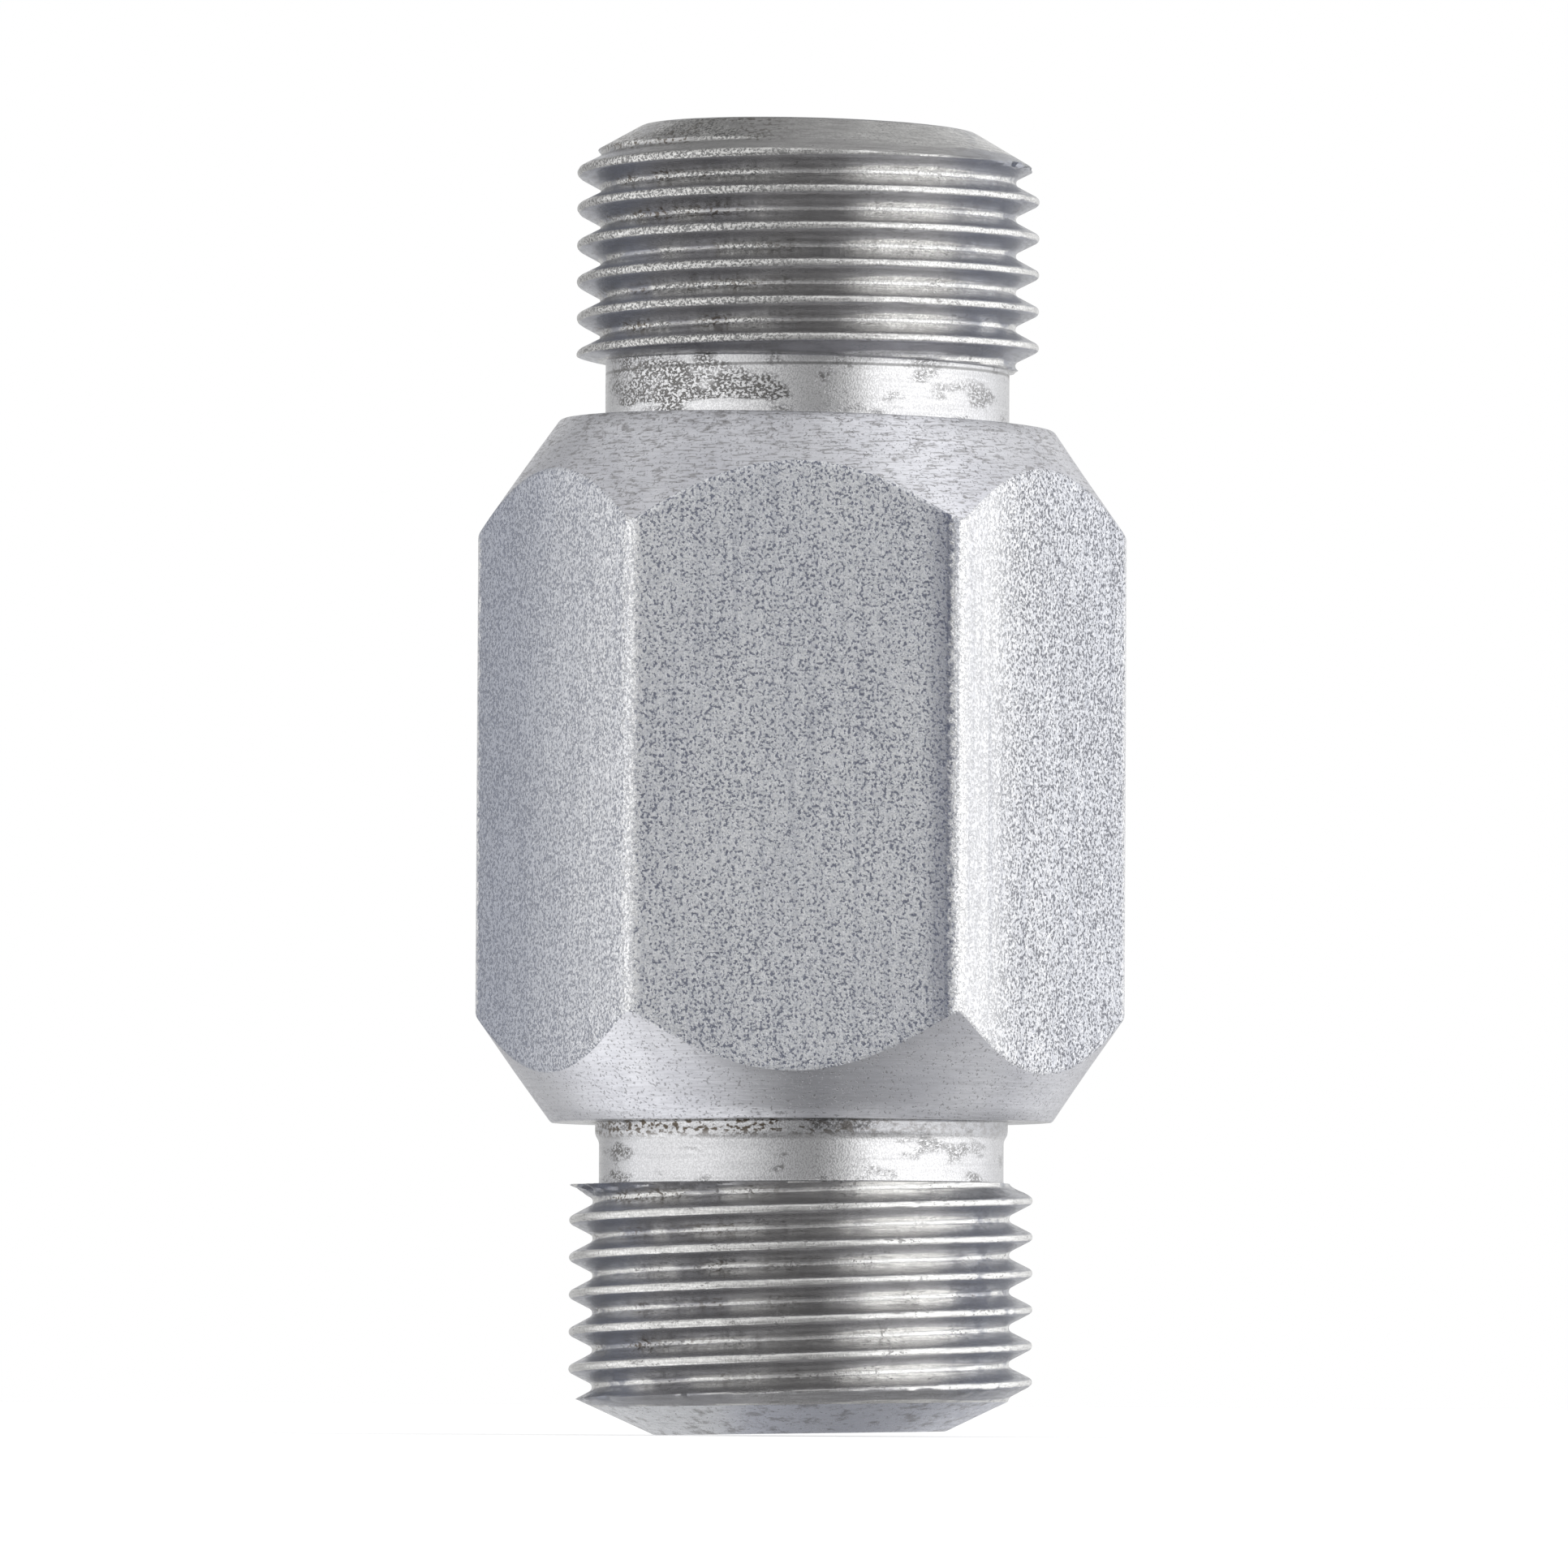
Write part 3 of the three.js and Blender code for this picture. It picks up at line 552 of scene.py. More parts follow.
def housing(materials):
    rings = RingMesh(column_angles())
    add_inlet_shank(rings)
    add_hexagon(rings)
    add_outlet_shank(rings)
    add_bore(rings)
    return rings.build("housing_body", materials, worn)


# ---- Pieces in the bore -------------------------------------------------------------------------------


def settle(piece, node, body, slot):
    """The piece stands for the CAD node, which it hides, and moves with the body. slot is not used."""
    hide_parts(node)
    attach(piece, body)


def profile_of(node, facet=2.5):
    """[radius, height] corners of a turned CAD node's section, anticlockwise with the radius to the right.

    The section is cut halfway along a facet, clear of any holes, and then scaled out to the facets' corners.
    """
    azimuth = facet * FULL_TURN / BORE_FACETS
    outwards = Vector((math.cos(azimuth), math.sin(azimuth), 0))
    body = bmesh.new()
    body.from_mesh(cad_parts[node].data)
    bmesh.ops.remove_doubles(body, verts=body.verts, dist=1e-7)
    for plane, clear in ((outwards, True), (Vector((-outwards.y, outwards.x, 0)), False)):
        found = bmesh.ops.bisect_plane(
            body,
            geom=[*body.verts, *body.edges, *body.faces],
            plane_co=(0, 0, 0),
            plane_no=plane,
            clear_inner=clear,
        )
    links = defaultdict(list)
    for edge in found["geom_cut"]:
        if isinstance(edge, bmesh.types.BMEdge):
            for here, there in (edge.verts, reversed(edge.verts)):
                links[here].append(there)
    chain = [next((v for v in links if len(links[v]) == 1), next(iter(links)))]
    left = set(links) - set(chain)
    while onward := [v for v in links[chain[-1]] if v in left]:
        chain.append(onward[0])
        left.remove(onward[0])
    points = np.array([(v.co.dot(outwards), v.co.z) for v in chain]) / MM
    body.free()
    points = without_straight_runs(points)
    points[:, 0] *= node_box(node)[1].x / points[:, 0].max()
    ahead = np.roll(points, -1, 0)
    area = (points[:, 0] * ahead[:, 1] - ahead[:, 0] * points[:, 1]).sum()
    return points if area > 0 else points[::-1]


def without_straight_runs(points):
    """A closed outline without repeated points and without points on a straight stretch."""
    points = points[np.linalg.norm(points - np.roll(points, 1, 0), axis=1) > 0.002]
    back, ahead = points - np.roll(points, 1, 0), np.roll(points, -1, 0) - points
    turn = np.abs(back[:, 0] * ahead[:, 1] - back[:, 1] * ahead[:, 0])
    return points[turn > 0.01 * np.linalg.norm(back, axis=1) * np.linalg.norm(ahead, axis=1)]


def closed_path(corners, radius):
    """A closed outline with every corner rounded. It starts and ends in the middle of its longest side."""
    longest = np.argmax(np.linalg.norm(np.roll(corners, -1, 0) - corners, axis=1))
    corners = np.roll(corners, -longest - 1, 0)
    middle = (corners[0] + corners[-1]) / 2
    return rounded([middle, *corners, middle], radius)


def lathe(name, profile, material, radius):
    """A piece turned to a profile that starts and ends on the axis, or closes on itself."""
    on_axis = profile[0][0] < 0.01 or profile[-1][0] < 0.01
    rings = RingMesh(even_columns())
    rings.add_path(rounded(from_axis(profile), radius) if on_axis else closed_path(profile, radius), 0)
    return rings.build(name, [material])


def from_axis(profile):
    """The same outline, started at its lower point on the axis."""
    profile = profile.copy()
    profile[profile[:, 0] < 0.01, 0] = 0
    starts = [i for i in range(len(profile)) if profile[i][0] == 0 and profile[i - 1][0] == 0]
    return np.roll(profile, -starts[0], 0)


def evaluated(piece, *modifiers):
    """Applies modifiers, each a type and its settings, to the piece's mesh."""
    for kind, settings in modifiers:
        modifier = piece.modifiers.new(kind.lower(), kind)
        for setting, value in settings.items():
            setattr(modifier, setting, value)
    mesh = shape_of(piece)
    piece.modifiers.clear()
    piece.data = mesh
    smooth(mesh)


def cut(piece, cutter, bevel=0.06):
    """Takes the cutter away from the piece, breaks the new edges and removes the cutter."""
    cutting = {"object": cutter, "operation": "DIFFERENCE", "solver": "EXACT"}
    breaking = {"width": bevel * MM, "segments": 2, "limit_method": "ANGLE", "angle_limit": math.radians(50)}
    evaluated(piece, ("BOOLEAN", cutting), ("BEVEL", breaking))
    bpy.data.objects.remove(cutter)


def drills(holes, low, high, sides=32):
    """Straight drills along Z at the places that a table of holes gives."""
    vertices, faces = [], []
    round_angles = even_columns(sides)
    for count, distance, first_angle in holes["rings"]:
        for angle in first_angle + even_columns(count):
            start = len(vertices)
            for height in (low, high):
                for turn in round_angles:
                    x = distance * math.cos(angle) + holes["radius"] * math.cos(turn)
                    y = distance * math.sin(angle) + holes["radius"] * math.sin(turn)
                    vertices.append((x, y, height))
            below, above = range(start, start + sides), range(start + sides, start + 2 * sides)
            faces += [tuple(reversed(below)), tuple(above)]
            faces += [(below[i - 1], below[i], above[i], above[i - 1]) for i in range(sides)]
    return make_object("drills", vertices, faces)


def saw(length, slot, face):
    """A block that cuts a slot along X into the face at a height. slot is its width and depth."""
    width, depth = slot
    corners = [(x * length / 2, y * width / 2) for x, y in ((-1, -1), (1, -1), (1, 1), (-1, 1))]
    vertices = [(x, y, z) for z in (face - depth, face + depth) for x, y in corners]
    faces = [(3, 2, 1, 0), (4, 5, 6, 7), (0, 1, 5, 4), (1, 2, 6, 5), (2, 3, 7, 6), (3, 0, 4, 7)]
    return make_object("saw", vertices, faces)


def turned_pieces(finish):
    """The pieces that need nothing but turning."""
    for node, slot, body, edge in (
        ("inlet_filter", "sintered_bronze", "housing", 0.15),
        ("filter_gasket", "ptfe", "housing", 0.08),
        ("valve_seat", "turned_steel", "housing", 0.08),
        ("poppet", "turned_steel", "poppet", 0.08),
        ("poppet_seal", "black_rubber", "poppet", 0.12),
        ("guide_bush", "ptfe", "housing", 0.08),
        ("spacer_sleeve", "turned_steel", "housing", 0.06),
        ("rear_gasket", "silicone", "housing", 0.2),
        ("diffuser_disc", "porous_ceramic", "housing", 0.12),
        ("front_gasket", "silicone", "housing", 0.2),
        ("slip_washer", "ptfe", "housing", 0.08),
    ):
        settle(lathe(f"{node}_piece", profile_of(node), finish[slot], edge), node, body, slot)


def drilled_pieces(finish):
    """The valve cage's end and the support plate, with the holes that gas passes through."""
    for node, holes in (("valve_cage", FLOW_HOLES), ("support_plate", PLATE_HOLES)):
        piece = lathe(f"{node}_piece", profile_of(node), finish["turned_steel"], 0.08)
        low, high = node_box(node)
        cut(piece, drills(holes, low.z - TOOL_MARGIN, high.z + TOOL_MARGIN))
        settle(piece, node, "housing", "turned_steel")


def seal_screw(finish):
    piece = lathe("seal_screw_piece", profile_of("seal_screw", 6.5), finish["turned_steel"], 0.06)
    cut(piece, saw(SCREW_SAW, SCREW_SLOT, node_box("seal_screw")[0].z), 0.03)
    settle(piece, "seal_screw", "poppet", "turned_steel")


def seat_oring(finish):
    """The O-ring, squeezed to an oval between its groove and the chamber's wall."""
    low, high = node_box("seat_oring")
    inner = INSERT_BORE + ORING_CLEARANCE
    middle = np.array([(inner + high.x) / 2, (low.z + high.z) / 2])
    half = np.array([(high.x - inner) / 2, (high.z - low.z) / 2])
    turns = even_columns(SECTION_STEPS)
    rings = RingMesh(even_columns(FINE_COLUMNS))
    rings.add_path(middle + half * np.stack([np.cos(turns), np.sin(turns)], 1), 0)
    piece = rings.build("seat_oring_piece", [finish["black_rubber"]])
    settle(piece, "seat_oring", "housing", "black_rubber")


def wave_washer(finish):
    """A flat ring bent into waves."""
    low, high = node_box("wave_washer")
    inner, outer, top = INSERT_BORE, INSERT_RADIUS, high.z - 2 * WAVE_SWING
    corners = np.array([(inner, low.z), (outer, low.z), (outer, top), (inner, top)])
    rings = RingMesh(even_columns(WAVE_COLUMNS))
    wave = WAVE_SWING * (1 + np.sin(WAVE_COUNT * rings.angles))
    for radius, height in closed_path(corners, 0.06):
        rings.add(radius, height + wave, 0)
    piece = rings.build("wave_washer_piece", [finish["spring_steel"]])
    settle(piece, "wave_washer", "housing", "spring_steel")


def retaining_ring(finish):
    """The threaded ring that clamps the stack, with a flared opening and two slots for a pin spanner."""
    low, high = node_box("retaining_ring")
    major = RING_THREAD["major"] - RING_THREAD_CLEARANCE
    minor = RING_THREAD["minor"] - RING_THREAD_CLEARANCE
    rings = RingMesh(even_columns(FINE_COLUMNS))
    lead_in = slanting(minor - RING_ENDS["foot"], low.z, 1)
    run_out = slanting(major - RING_ENDS["rim"], high.z, -RING_ENDS["rim_slope"])
    thread_low, thread_high = low.z + RING_INSETS[0], high.z - RING_INSETS[1]
    flared = (RING_OPENING, high.z - RING_FLARE)
    foot = [flared, (RING_OPENING, low.z), (lead_in(low.z), low.z), (lead_in(thread_low), thread_low)]
    rings.add_path(rounded(foot, 0.06)[:-1], 0)
    surface = crested(major, lead_in, run_out)
    rings.add_thread(RING_THREAD, high.z, thread_low, thread_high, surface, 0, RING_THREAD_STEPS)
    lip = (minor - RING_ENDS["lip"], high.z)
    rim = [(minor, thread_high), lip, (RING_OPENING + RING_FLARE, high.z), flared]
    rings.add_path(rounded(rim, 0.06)[1:], 0)
    piece = rings.build("retaining_ring_piece", [finish["turned_steel"]])
    cut(piece, saw(4 * major, RING_SLOT, high.z))
    settle(piece, "retaining_ring", "housing", "turned_steel")


def curve_object(name, dimensions, **settings):
    curve = bpy.data.curves.new(name, "CURVE")
    curve.dimensions = dimensions
    for setting, value in settings.items():
        setattr(curve, setting, value)
    return linked(name, curve)


def add_line(curve, points, closed):
    """A polyline through points in millimetres."""
    spline = curve.splines.new("POLY")
    spline.points.add(len(points) - 1)
    padded = np.concatenate([np.asarray(points) * MM, np.ones((len(points), 1))], 1)
    spline.points.foreach_set("co", padded.ravel())
    spline.use_cyclic_u = closed


def as_mesh(piece, material):
    """The curve object turned into a mesh object of the same name."""
    name = piece.name
    mesh = shape_of(piece)
    bpy.data.objects.remove(piece)
    body = bmesh.new()
    body.from_mesh(mesh)
    bmesh.ops.remove_doubles(body, verts=body.verts, dist=1e-7)
    bmesh.ops.recalc_face_normals(body, faces=body.faces)
    body.to_mesh(mesh)
    body.free()
    mesh.materials.clear()
    mesh.materials.append(material)
    smooth(mesh, WIRE_SMOOTH_UP_TO)
    return linked(name, mesh)


def valve_spring(finish):
    """A coil with closed ends, attached to the housing. The poppet would shorten it, but this mesh keeps one
    length.
    """
    low, high = node_box("valve_spring")
    closed = 1 / SPRING_TURNS
    closed_rise = 2 * SPRING_WIRE_RADIUS + SPRING_END_GAP
    climb = high.z - low.z - 2 * SPRING_WIRE_RADIUS
    share = np.linspace(0, 1, round(SPRING_TURNS * COIL_STEPS) + 1)
    active = np.clip((share - closed) / (1 - 2 * closed), 0, 1)
    ends = np.minimum(share, closed) / closed + np.maximum(share - 1 + closed, 0) / closed
    heights = low.z + SPRING_WIRE_RADIUS + closed_rise * ends + (climb - 2 * closed_rise) * active
    angles = share * SPRING_TURNS * FULL_TURN
    line = np.stack([SPRING_MEAN_RADIUS * np.cos(angles), SPRING_MEAN_RADIUS * np.sin(angles), heights], 1)
    wire = {"bevel_depth": SPRING_WIRE_RADIUS * MM, "bevel_resolution": 4, "use_fill_caps": True}
    coil = curve_object("valve_spring_piece", "3D", **wire)
    add_line(coil.data, line, closed=False)
    piece = as_mesh(coil, finish["spring_steel"])
    settle(piece, "valve_spring", "housing", "spring_steel")
    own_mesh(piece)


def filter_circlip(finish):
    """A sprung ring that is open at the front, with an eyelet at each end for the pliers."""
    low, high = node_box("filter_circlip")
    outer, inner, lug, bevel = (CIRCLIP[size] for size in ("outer", "inner", "lug", "edge"))
    lug_distance = outer - lug - CIRCLIP["inset"]
    front = -math.pi / 2
    first, last = front + CIRCLIP_HALF_GAP, front - CIRCLIP_HALF_GAP + FULL_TURN
    crossing = (inner**2 - lug_distance**2 - lug**2) / (2 * lug_distance * lug)  # of eyelet and inner arc
    turns = np.linspace(0, FULL_TURN - math.acos(crossing), SECTION_STEPS)

    def eyelet(angle, side, radius, turns):
        """Points round an eyelet's centre, from its outer side by the gap to its inner side."""
        out = np.array([math.cos(angle), math.sin(angle)])
        along = np.array([-out[1], out[0]]) * side
        return lug_distance * out + radius * (np.cos(turns)[:, None] * out + np.sin(turns)[:, None] * along)

    def arc(radius, start, end):
        angles = np.linspace(start, end, CLIP_STEPS + 1)[1:-1]
        return radius * np.stack([np.cos(angles), np.sin(angles)], 1)

    far_lug = eyelet(last, 1, lug - bevel, turns)
    near_lug = eyelet(first, -1, lug - bevel, turns[::-1])
    inner_start, inner_end = (math.atan2(p[1], p[0]) for p in (far_lug[-1], near_lug[0]))
    inner_line = arc(inner + bevel, inner_start + FULL_TURN * (inner_start < first), inner_end)
    outline = np.concatenate([arc(outer - bevel, first, last), far_lug, inner_line, near_lug])
    clip = curve_object(
        "filter_circlip_piece",
        "2D",
        fill_mode="BOTH",
        bevel_depth=bevel * MM,
        bevel_resolution=2,
        extrude=(high.z - low.z) / 2 * MM - bevel * MM,
    )
    whole = even_columns(HOLE_STEPS)
    for line in (outline, *(eyelet(angle, 1, CIRCLIP["hole"] + bevel, whole) for angle in (first, last))):
        add_line(clip.data, np.column_stack([line, np.zeros(len(line))]), closed=True)
    piece = as_mesh(clip, finish["spring_steel"])
    for vertex in piece.data.vertices:
        vertex.co.z += (low.z + high.z) / 2 * MM
    settle(piece, "filter_circlip", "housing", "spring_steel")


# ---- Materials ----------------------------------------------------------------------------------------


def add_node(tree, kind, inputs=(), **settings):
    """A new node. inputs holds sockets or plain values, in order, or by name or number in a dictionary."""
    made = tree.nodes.new(kind)
    for setting, value in settings.items():
        setattr(made, setting, value)
    for key, value in inputs.items() if isinstance(inputs, dict) else enumerate(inputs):
        if isinstance(value, bpy.types.NodeSocket):
            tree.links.new(value, made.inputs[key])
        else:
            made.inputs[key].default_value = value
    return made


def rgba(colour):
    """A socket as it is, and three numbers, or one for a grey, as an opaque colour."""
    if isinstance(colour, bpy.types.NodeSocket):
        return colour
    return (*(colour if isinstance(colour, tuple) else (colour,) * 3), 1)


class Surface:
    """A material, built up one node at a time. Its coordinates are in millimetres."""

    def __init__(self, name, **sockets):
        self.material = bpy.data.materials.new(name)
        self.material.use_nodes = True
        self.tree = self.material.node_tree
        self.shader = self.tree.nodes["Principled BSDF"]
        for socket, value in sockets.items():
            self.shader.inputs[socket.replace("_", " ")].default_value = value
        metres = self.node("ShaderNodeTexCoord").outputs["Object"]
        self.place = self.vector("MULTIPLY", metres, (1 / MM,) * 3)
        self.x, self.y, self.z = self.node("ShaderNodeSeparateXYZ", [self.place]).outputs[:3]

    def node(self, kind, inputs=(), **settings):
        return add_node(self.tree, kind, inputs, **settings)

    def vector(self, operation, *values):
        return self.node("ShaderNodeVectorMath", values, operation=operation).outputs[0]

    def math(self, operation, *values, clamp=False):
        return self.node("ShaderNodeMath", values, operation=operation, use_clamp=clamp).outputs[0]

    def times(self, product, *factors):
        for factor in factors:
            product = self.math("MULTIPLY", product, factor)
        return product

    def inverse(self, value):
        return self.math("SUBTRACT", 1.0, value)

    def between(self, value, low, high, to_low=0.0, to_high=1.0):
        """The value mapped smoothly from one range onto another."""
        inputs = (value, low, high, to_low, to_high)
        return self.node("ShaderNodeMapRange", inputs, interpolation_type="SMOOTHSTEP").outputs[0]

    def within(self, value, rise, fall, before=0.0, after=0.0):
        """1 between two soft edges, each given by where it starts and ends."""
        return self.times(self.between(value, *rise, before, 1.0), self.between(value, *fall, 1.0, after))

    def by_end(self, inlet, outlet):
        """One value on the inlet's half of the part and another on the outlet's."""
        return self.between(self.z, LENGTH / 2 - 1, LENGTH / 2 + 1, inlet, outlet)

    def radius(self, middle=0.0):
        """Distance from the axis, or from a line beside it that stands at the x given."""
        flat = self.node("ShaderNodeCombineXYZ", [self.math("SUBTRACT", self.x, middle), self.y]).outputs[0]
        return self.node("ShaderNodeVectorMath", [flat], operation="LENGTH").outputs["Value"]

    def noise(self, size, detail=2.0, stretch=None, roughness=0.5, place=None):
        """Noise from 0 to 1 whose blobs are about size millimetres across.

        stretch multiplies the coordinates: a small factor draws the blobs out along that axis.
        """
        place = place or self.place
        if stretch:
            place = self.vector("MULTIPLY", place, stretch)
        inputs = {"Vector": place, "Scale": 0.5 / size, "Detail": detail, "Roughness": roughness}
        return self.node("ShaderNodeTexNoise", inputs).outputs[0]

    def turning(self, size, detail=3.0, roughness=0.6):
        """Noise that runs in rings about the axis, on faces and cylinders alike."""
        drawn_out = self.vector("MULTIPLY", self.place, (0.02, 0.02, 1))
        x, y, z = self.node("ShaderNodeSeparateXYZ", [drawn_out]).outputs
        place = self.node("ShaderNodeCombineXYZ", [self.math("ADD", self.radius(), x), y, z]).outputs[0]
        return self.noise(size, detail, roughness=roughness, place=place)

    def mix(self, share, first, second):
        """A colour between two, each a socket, three numbers, or one for a grey."""
        inputs = {0: share, 6: rgba(first), 7: rgba(second)}
        return self.node("ShaderNodeMix", inputs, data_type="RGBA").outputs[2]

    def layers(self, colour, *coats):
        """A colour with coats over it, each how much it covers and its own colour."""
        for cover, coat in coats:
            colour = self.mix(cover, colour, coat)
        return colour

    def finished(self, colour, roughness, *relief):
        """The material with its colour, its roughness and relief of (height, depth in millimetres) layers."""
        self.tree.links.new(colour, self.shader.inputs["Base Color"])
        self.tree.links.new(roughness, self.shader.inputs["Roughness"])
        below = {}
        for height, depth in relief:
            inputs = {"Height": height, "Distance": depth * MM, **below}
            below = {"Normal": self.node("ShaderNodeBump", inputs).outputs["Normal"]}
        self.tree.links.new(below["Normal"], self.shader.inputs["Normal"])
        return self.material


def drawn_bar():
    """The flats: matt bluish grey skin of a drawn bar, peppered with dark pits, bright on its corners from
    wear and painted highlight, with painted shade across the side flats.
    """
    s = Surface("drawn_bar", Metallic=1.0)
    crowding = s.between(s.noise(2.5, 3), 0.35, 0.65, -0.015, 0.015)
    pepper = s.between(s.math("ADD", s.noise(0.08), crowding), 0.43, 0.57)
    pits = s.times(pepper, s.between(s.noise(0.075, stretch=(1.13, -1.07, 0.93)), 0.42, 0.56))
    mottle = s.between(s.noise(0.18, 4, roughness=0.65), 0.4, 0.62)
    grain = s.between(s.noise(0.055, roughness=0.6), 0.38, 0.62)
    clouds = s.between(s.noise(1.8, 4, (1, 1, 0.3)), 0.3, 0.7)
    marks = s.between(s.noise(0.2, 3, (1, 1, 0.02)), 0.52, 0.68)
    # Corners worn bright, with a painted highlight over the same band.
    worn_and_highlit = s.between(s.math("MULTIPLY_ADD", mottle, 0.12, s.radius()), 15.93, 16.08)

    # By the front flat's right corner: a smooth band on the right flat; on the front, a dark strip of painted
    # shade and a drawn line.
    smooth = s.within(s.x, (7.9, 8.1), (8.6, 11.5))
    strip = s.within(s.x, (6.0, 7.4), (8.0, 8.3))
    from_line = s.math("ABSOLUTE", s.math("SUBTRACT", s.x, 7.5))
    line = s.times(s.between(from_line, 0.06, 0.22, 0.7, 0.0), s.between(clouds, 0, 1, 0.3, 1.0))

    on_right_flat = s.between(s.x, 7.8, 8.4)
    # Painted shade: the skin darkens across the left flats towards -X and, a little, on the right flat
    # towards its back, while the front and right flats stay near white.
    skin = s.layers(
        s.mix(s.between(s.x, -15.2, -8.6), (0.475, 0.495, 0.55), (0.98, 0.985, 1.0)),
        (on_right_flat, (0.99, 0.99, 1.0)),
        (s.between(s.x, 9.5, 15.2), (0.91, 0.92, 0.95)),
        (s.times(clouds, 0.14), (0.5, 0.52, 0.6)),
        (s.times(mottle, s.between(smooth, 0, 1, 0.25, 0.08)), (0.4, 0.42, 0.48)),
        (s.times(strip, 0.65), (0.3, 0.31, 0.37)),
        (line, (0.14, 0.15, 0.2)),
        (worn_and_highlit, (0.98, 0.98, 0.985)),
        (s.times(grain, s.between(smooth, 0, 1, 0.38, 0.12)), (0.36, 0.38, 0.45)),
        (s.times(marks, s.between(strip, 0, 1, 0.22, 0.5)), (0.33, 0.35, 0.42)),
    )
    open_pits = s.times(
        pits,
        s.between(smooth, 0, 1, 1.0, 0.2),
        s.between(worn_and_highlit, 0.3, 1.0, 0.88, 0.35),
        s.between(s.x, -8.6, -8.0, 0.75, 1.0),
    )
    pit = s.mix(on_right_flat, (0.17, 0.185, 0.25), (0.14, 0.145, 0.175))
    roughness = s.times(s.between(grain, 0, 1, 0.36, 0.46), s.between(worn_and_highlit, 0, 1, 1.0, 0.7))
    relief = (s.inverse(pits), 0.035), (grain, 0.012), (marks, 0.006)
    return s.finished(s.mix(open_pits, skin, pit), roughness, *relief)


def turned_faces():
    """Cones, chamfers and end faces: short scratches along the turning, dark smudges and open specks, and
    painted light and shade across the inlet's chamfer.
    """
    s = Surface("turned_faces", Metallic=1.0)
    upper = s.between(s.z, 20, 44)  # the outlet's side is rougher
    inlet_end = s.between(s.z, 2.5, 1.5)
    rings = s.turning(0.07)
    clouds = s.between(s.noise(2, 4), 0.3, 0.7)
    specks = s.between(s.noise(0.07), 0.6, 0.66)
    scratches = s.noise(0.05, 3, (0.13, 0.13, 1), roughness=0.65)
    dark_scratches = s.times(s.between(scratches, 0.52, 0.62), s.between(upper, 0, 1, 0.12, 0.8))

    # Smudges crowd on the outlet's cone, most of all by the neck on the left, and on the inlet's chamfer.
    by_neck = s.times(s.between(s.z, 46.6, 49.4, -0.02, 0.07), s.between(s.x, 2, -4, 0.3, 1.0))
    crowding = s.math("MULTIPLY_ADD", inlet_end, 0.1, by_neck)
    smudges = s.math("ADD", s.noise(0.2, 5, (0.45, 0.45, 1), roughness=0.65), crowding)
    stained = s.math("MAXIMUM", s.between(upper, 0, 1, 0.35, 1.0), s.times(inlet_end, 0.9))
    smudges = s.times(s.between(smudges, 0.6, 0.72), stained, s.between(s.z, 60.5, 62.5, 1.0, 0.25))

    # Painted light and shade on the inlet's chamfer: lighter on the left, bluish and darker on the right.
    inlet_tint_and_painted_light = s.mix(s.between(s.x, -4.5, -1.5), (0.95, 0.97, 1.0), (0.66, 0.69, 0.82))
    metal = s.layers(
        s.mix(clouds, (0.63, 0.635, 0.68), (0.73, 0.735, 0.775)),
        (s.between(rings, 0.4, 0.65, 0.0, 0.2), (0.42, 0.42, 0.44)),
        (dark_scratches, (0.33, 0.325, 0.335)),
        (s.times(inlet_end, 0.5), inlet_tint_and_painted_light),
        (s.between(s.z, 61.0, 62.5, 0.0, 0.45), (0.3, 0.3, 0.29)),
        (s.times(smudges, 0.6), (0.2, 0.19, 0.19)),
        (s.times(specks, 0.5), (0.17, 0.165, 0.17)),
    )
    roughness = s.between(scratches, 0.3, 0.7, 0.25, 0.37)
    return s.finished(metal, roughness, (scratches, 0.01), (rings, 0.004), (s.inverse(specks), 0.01))


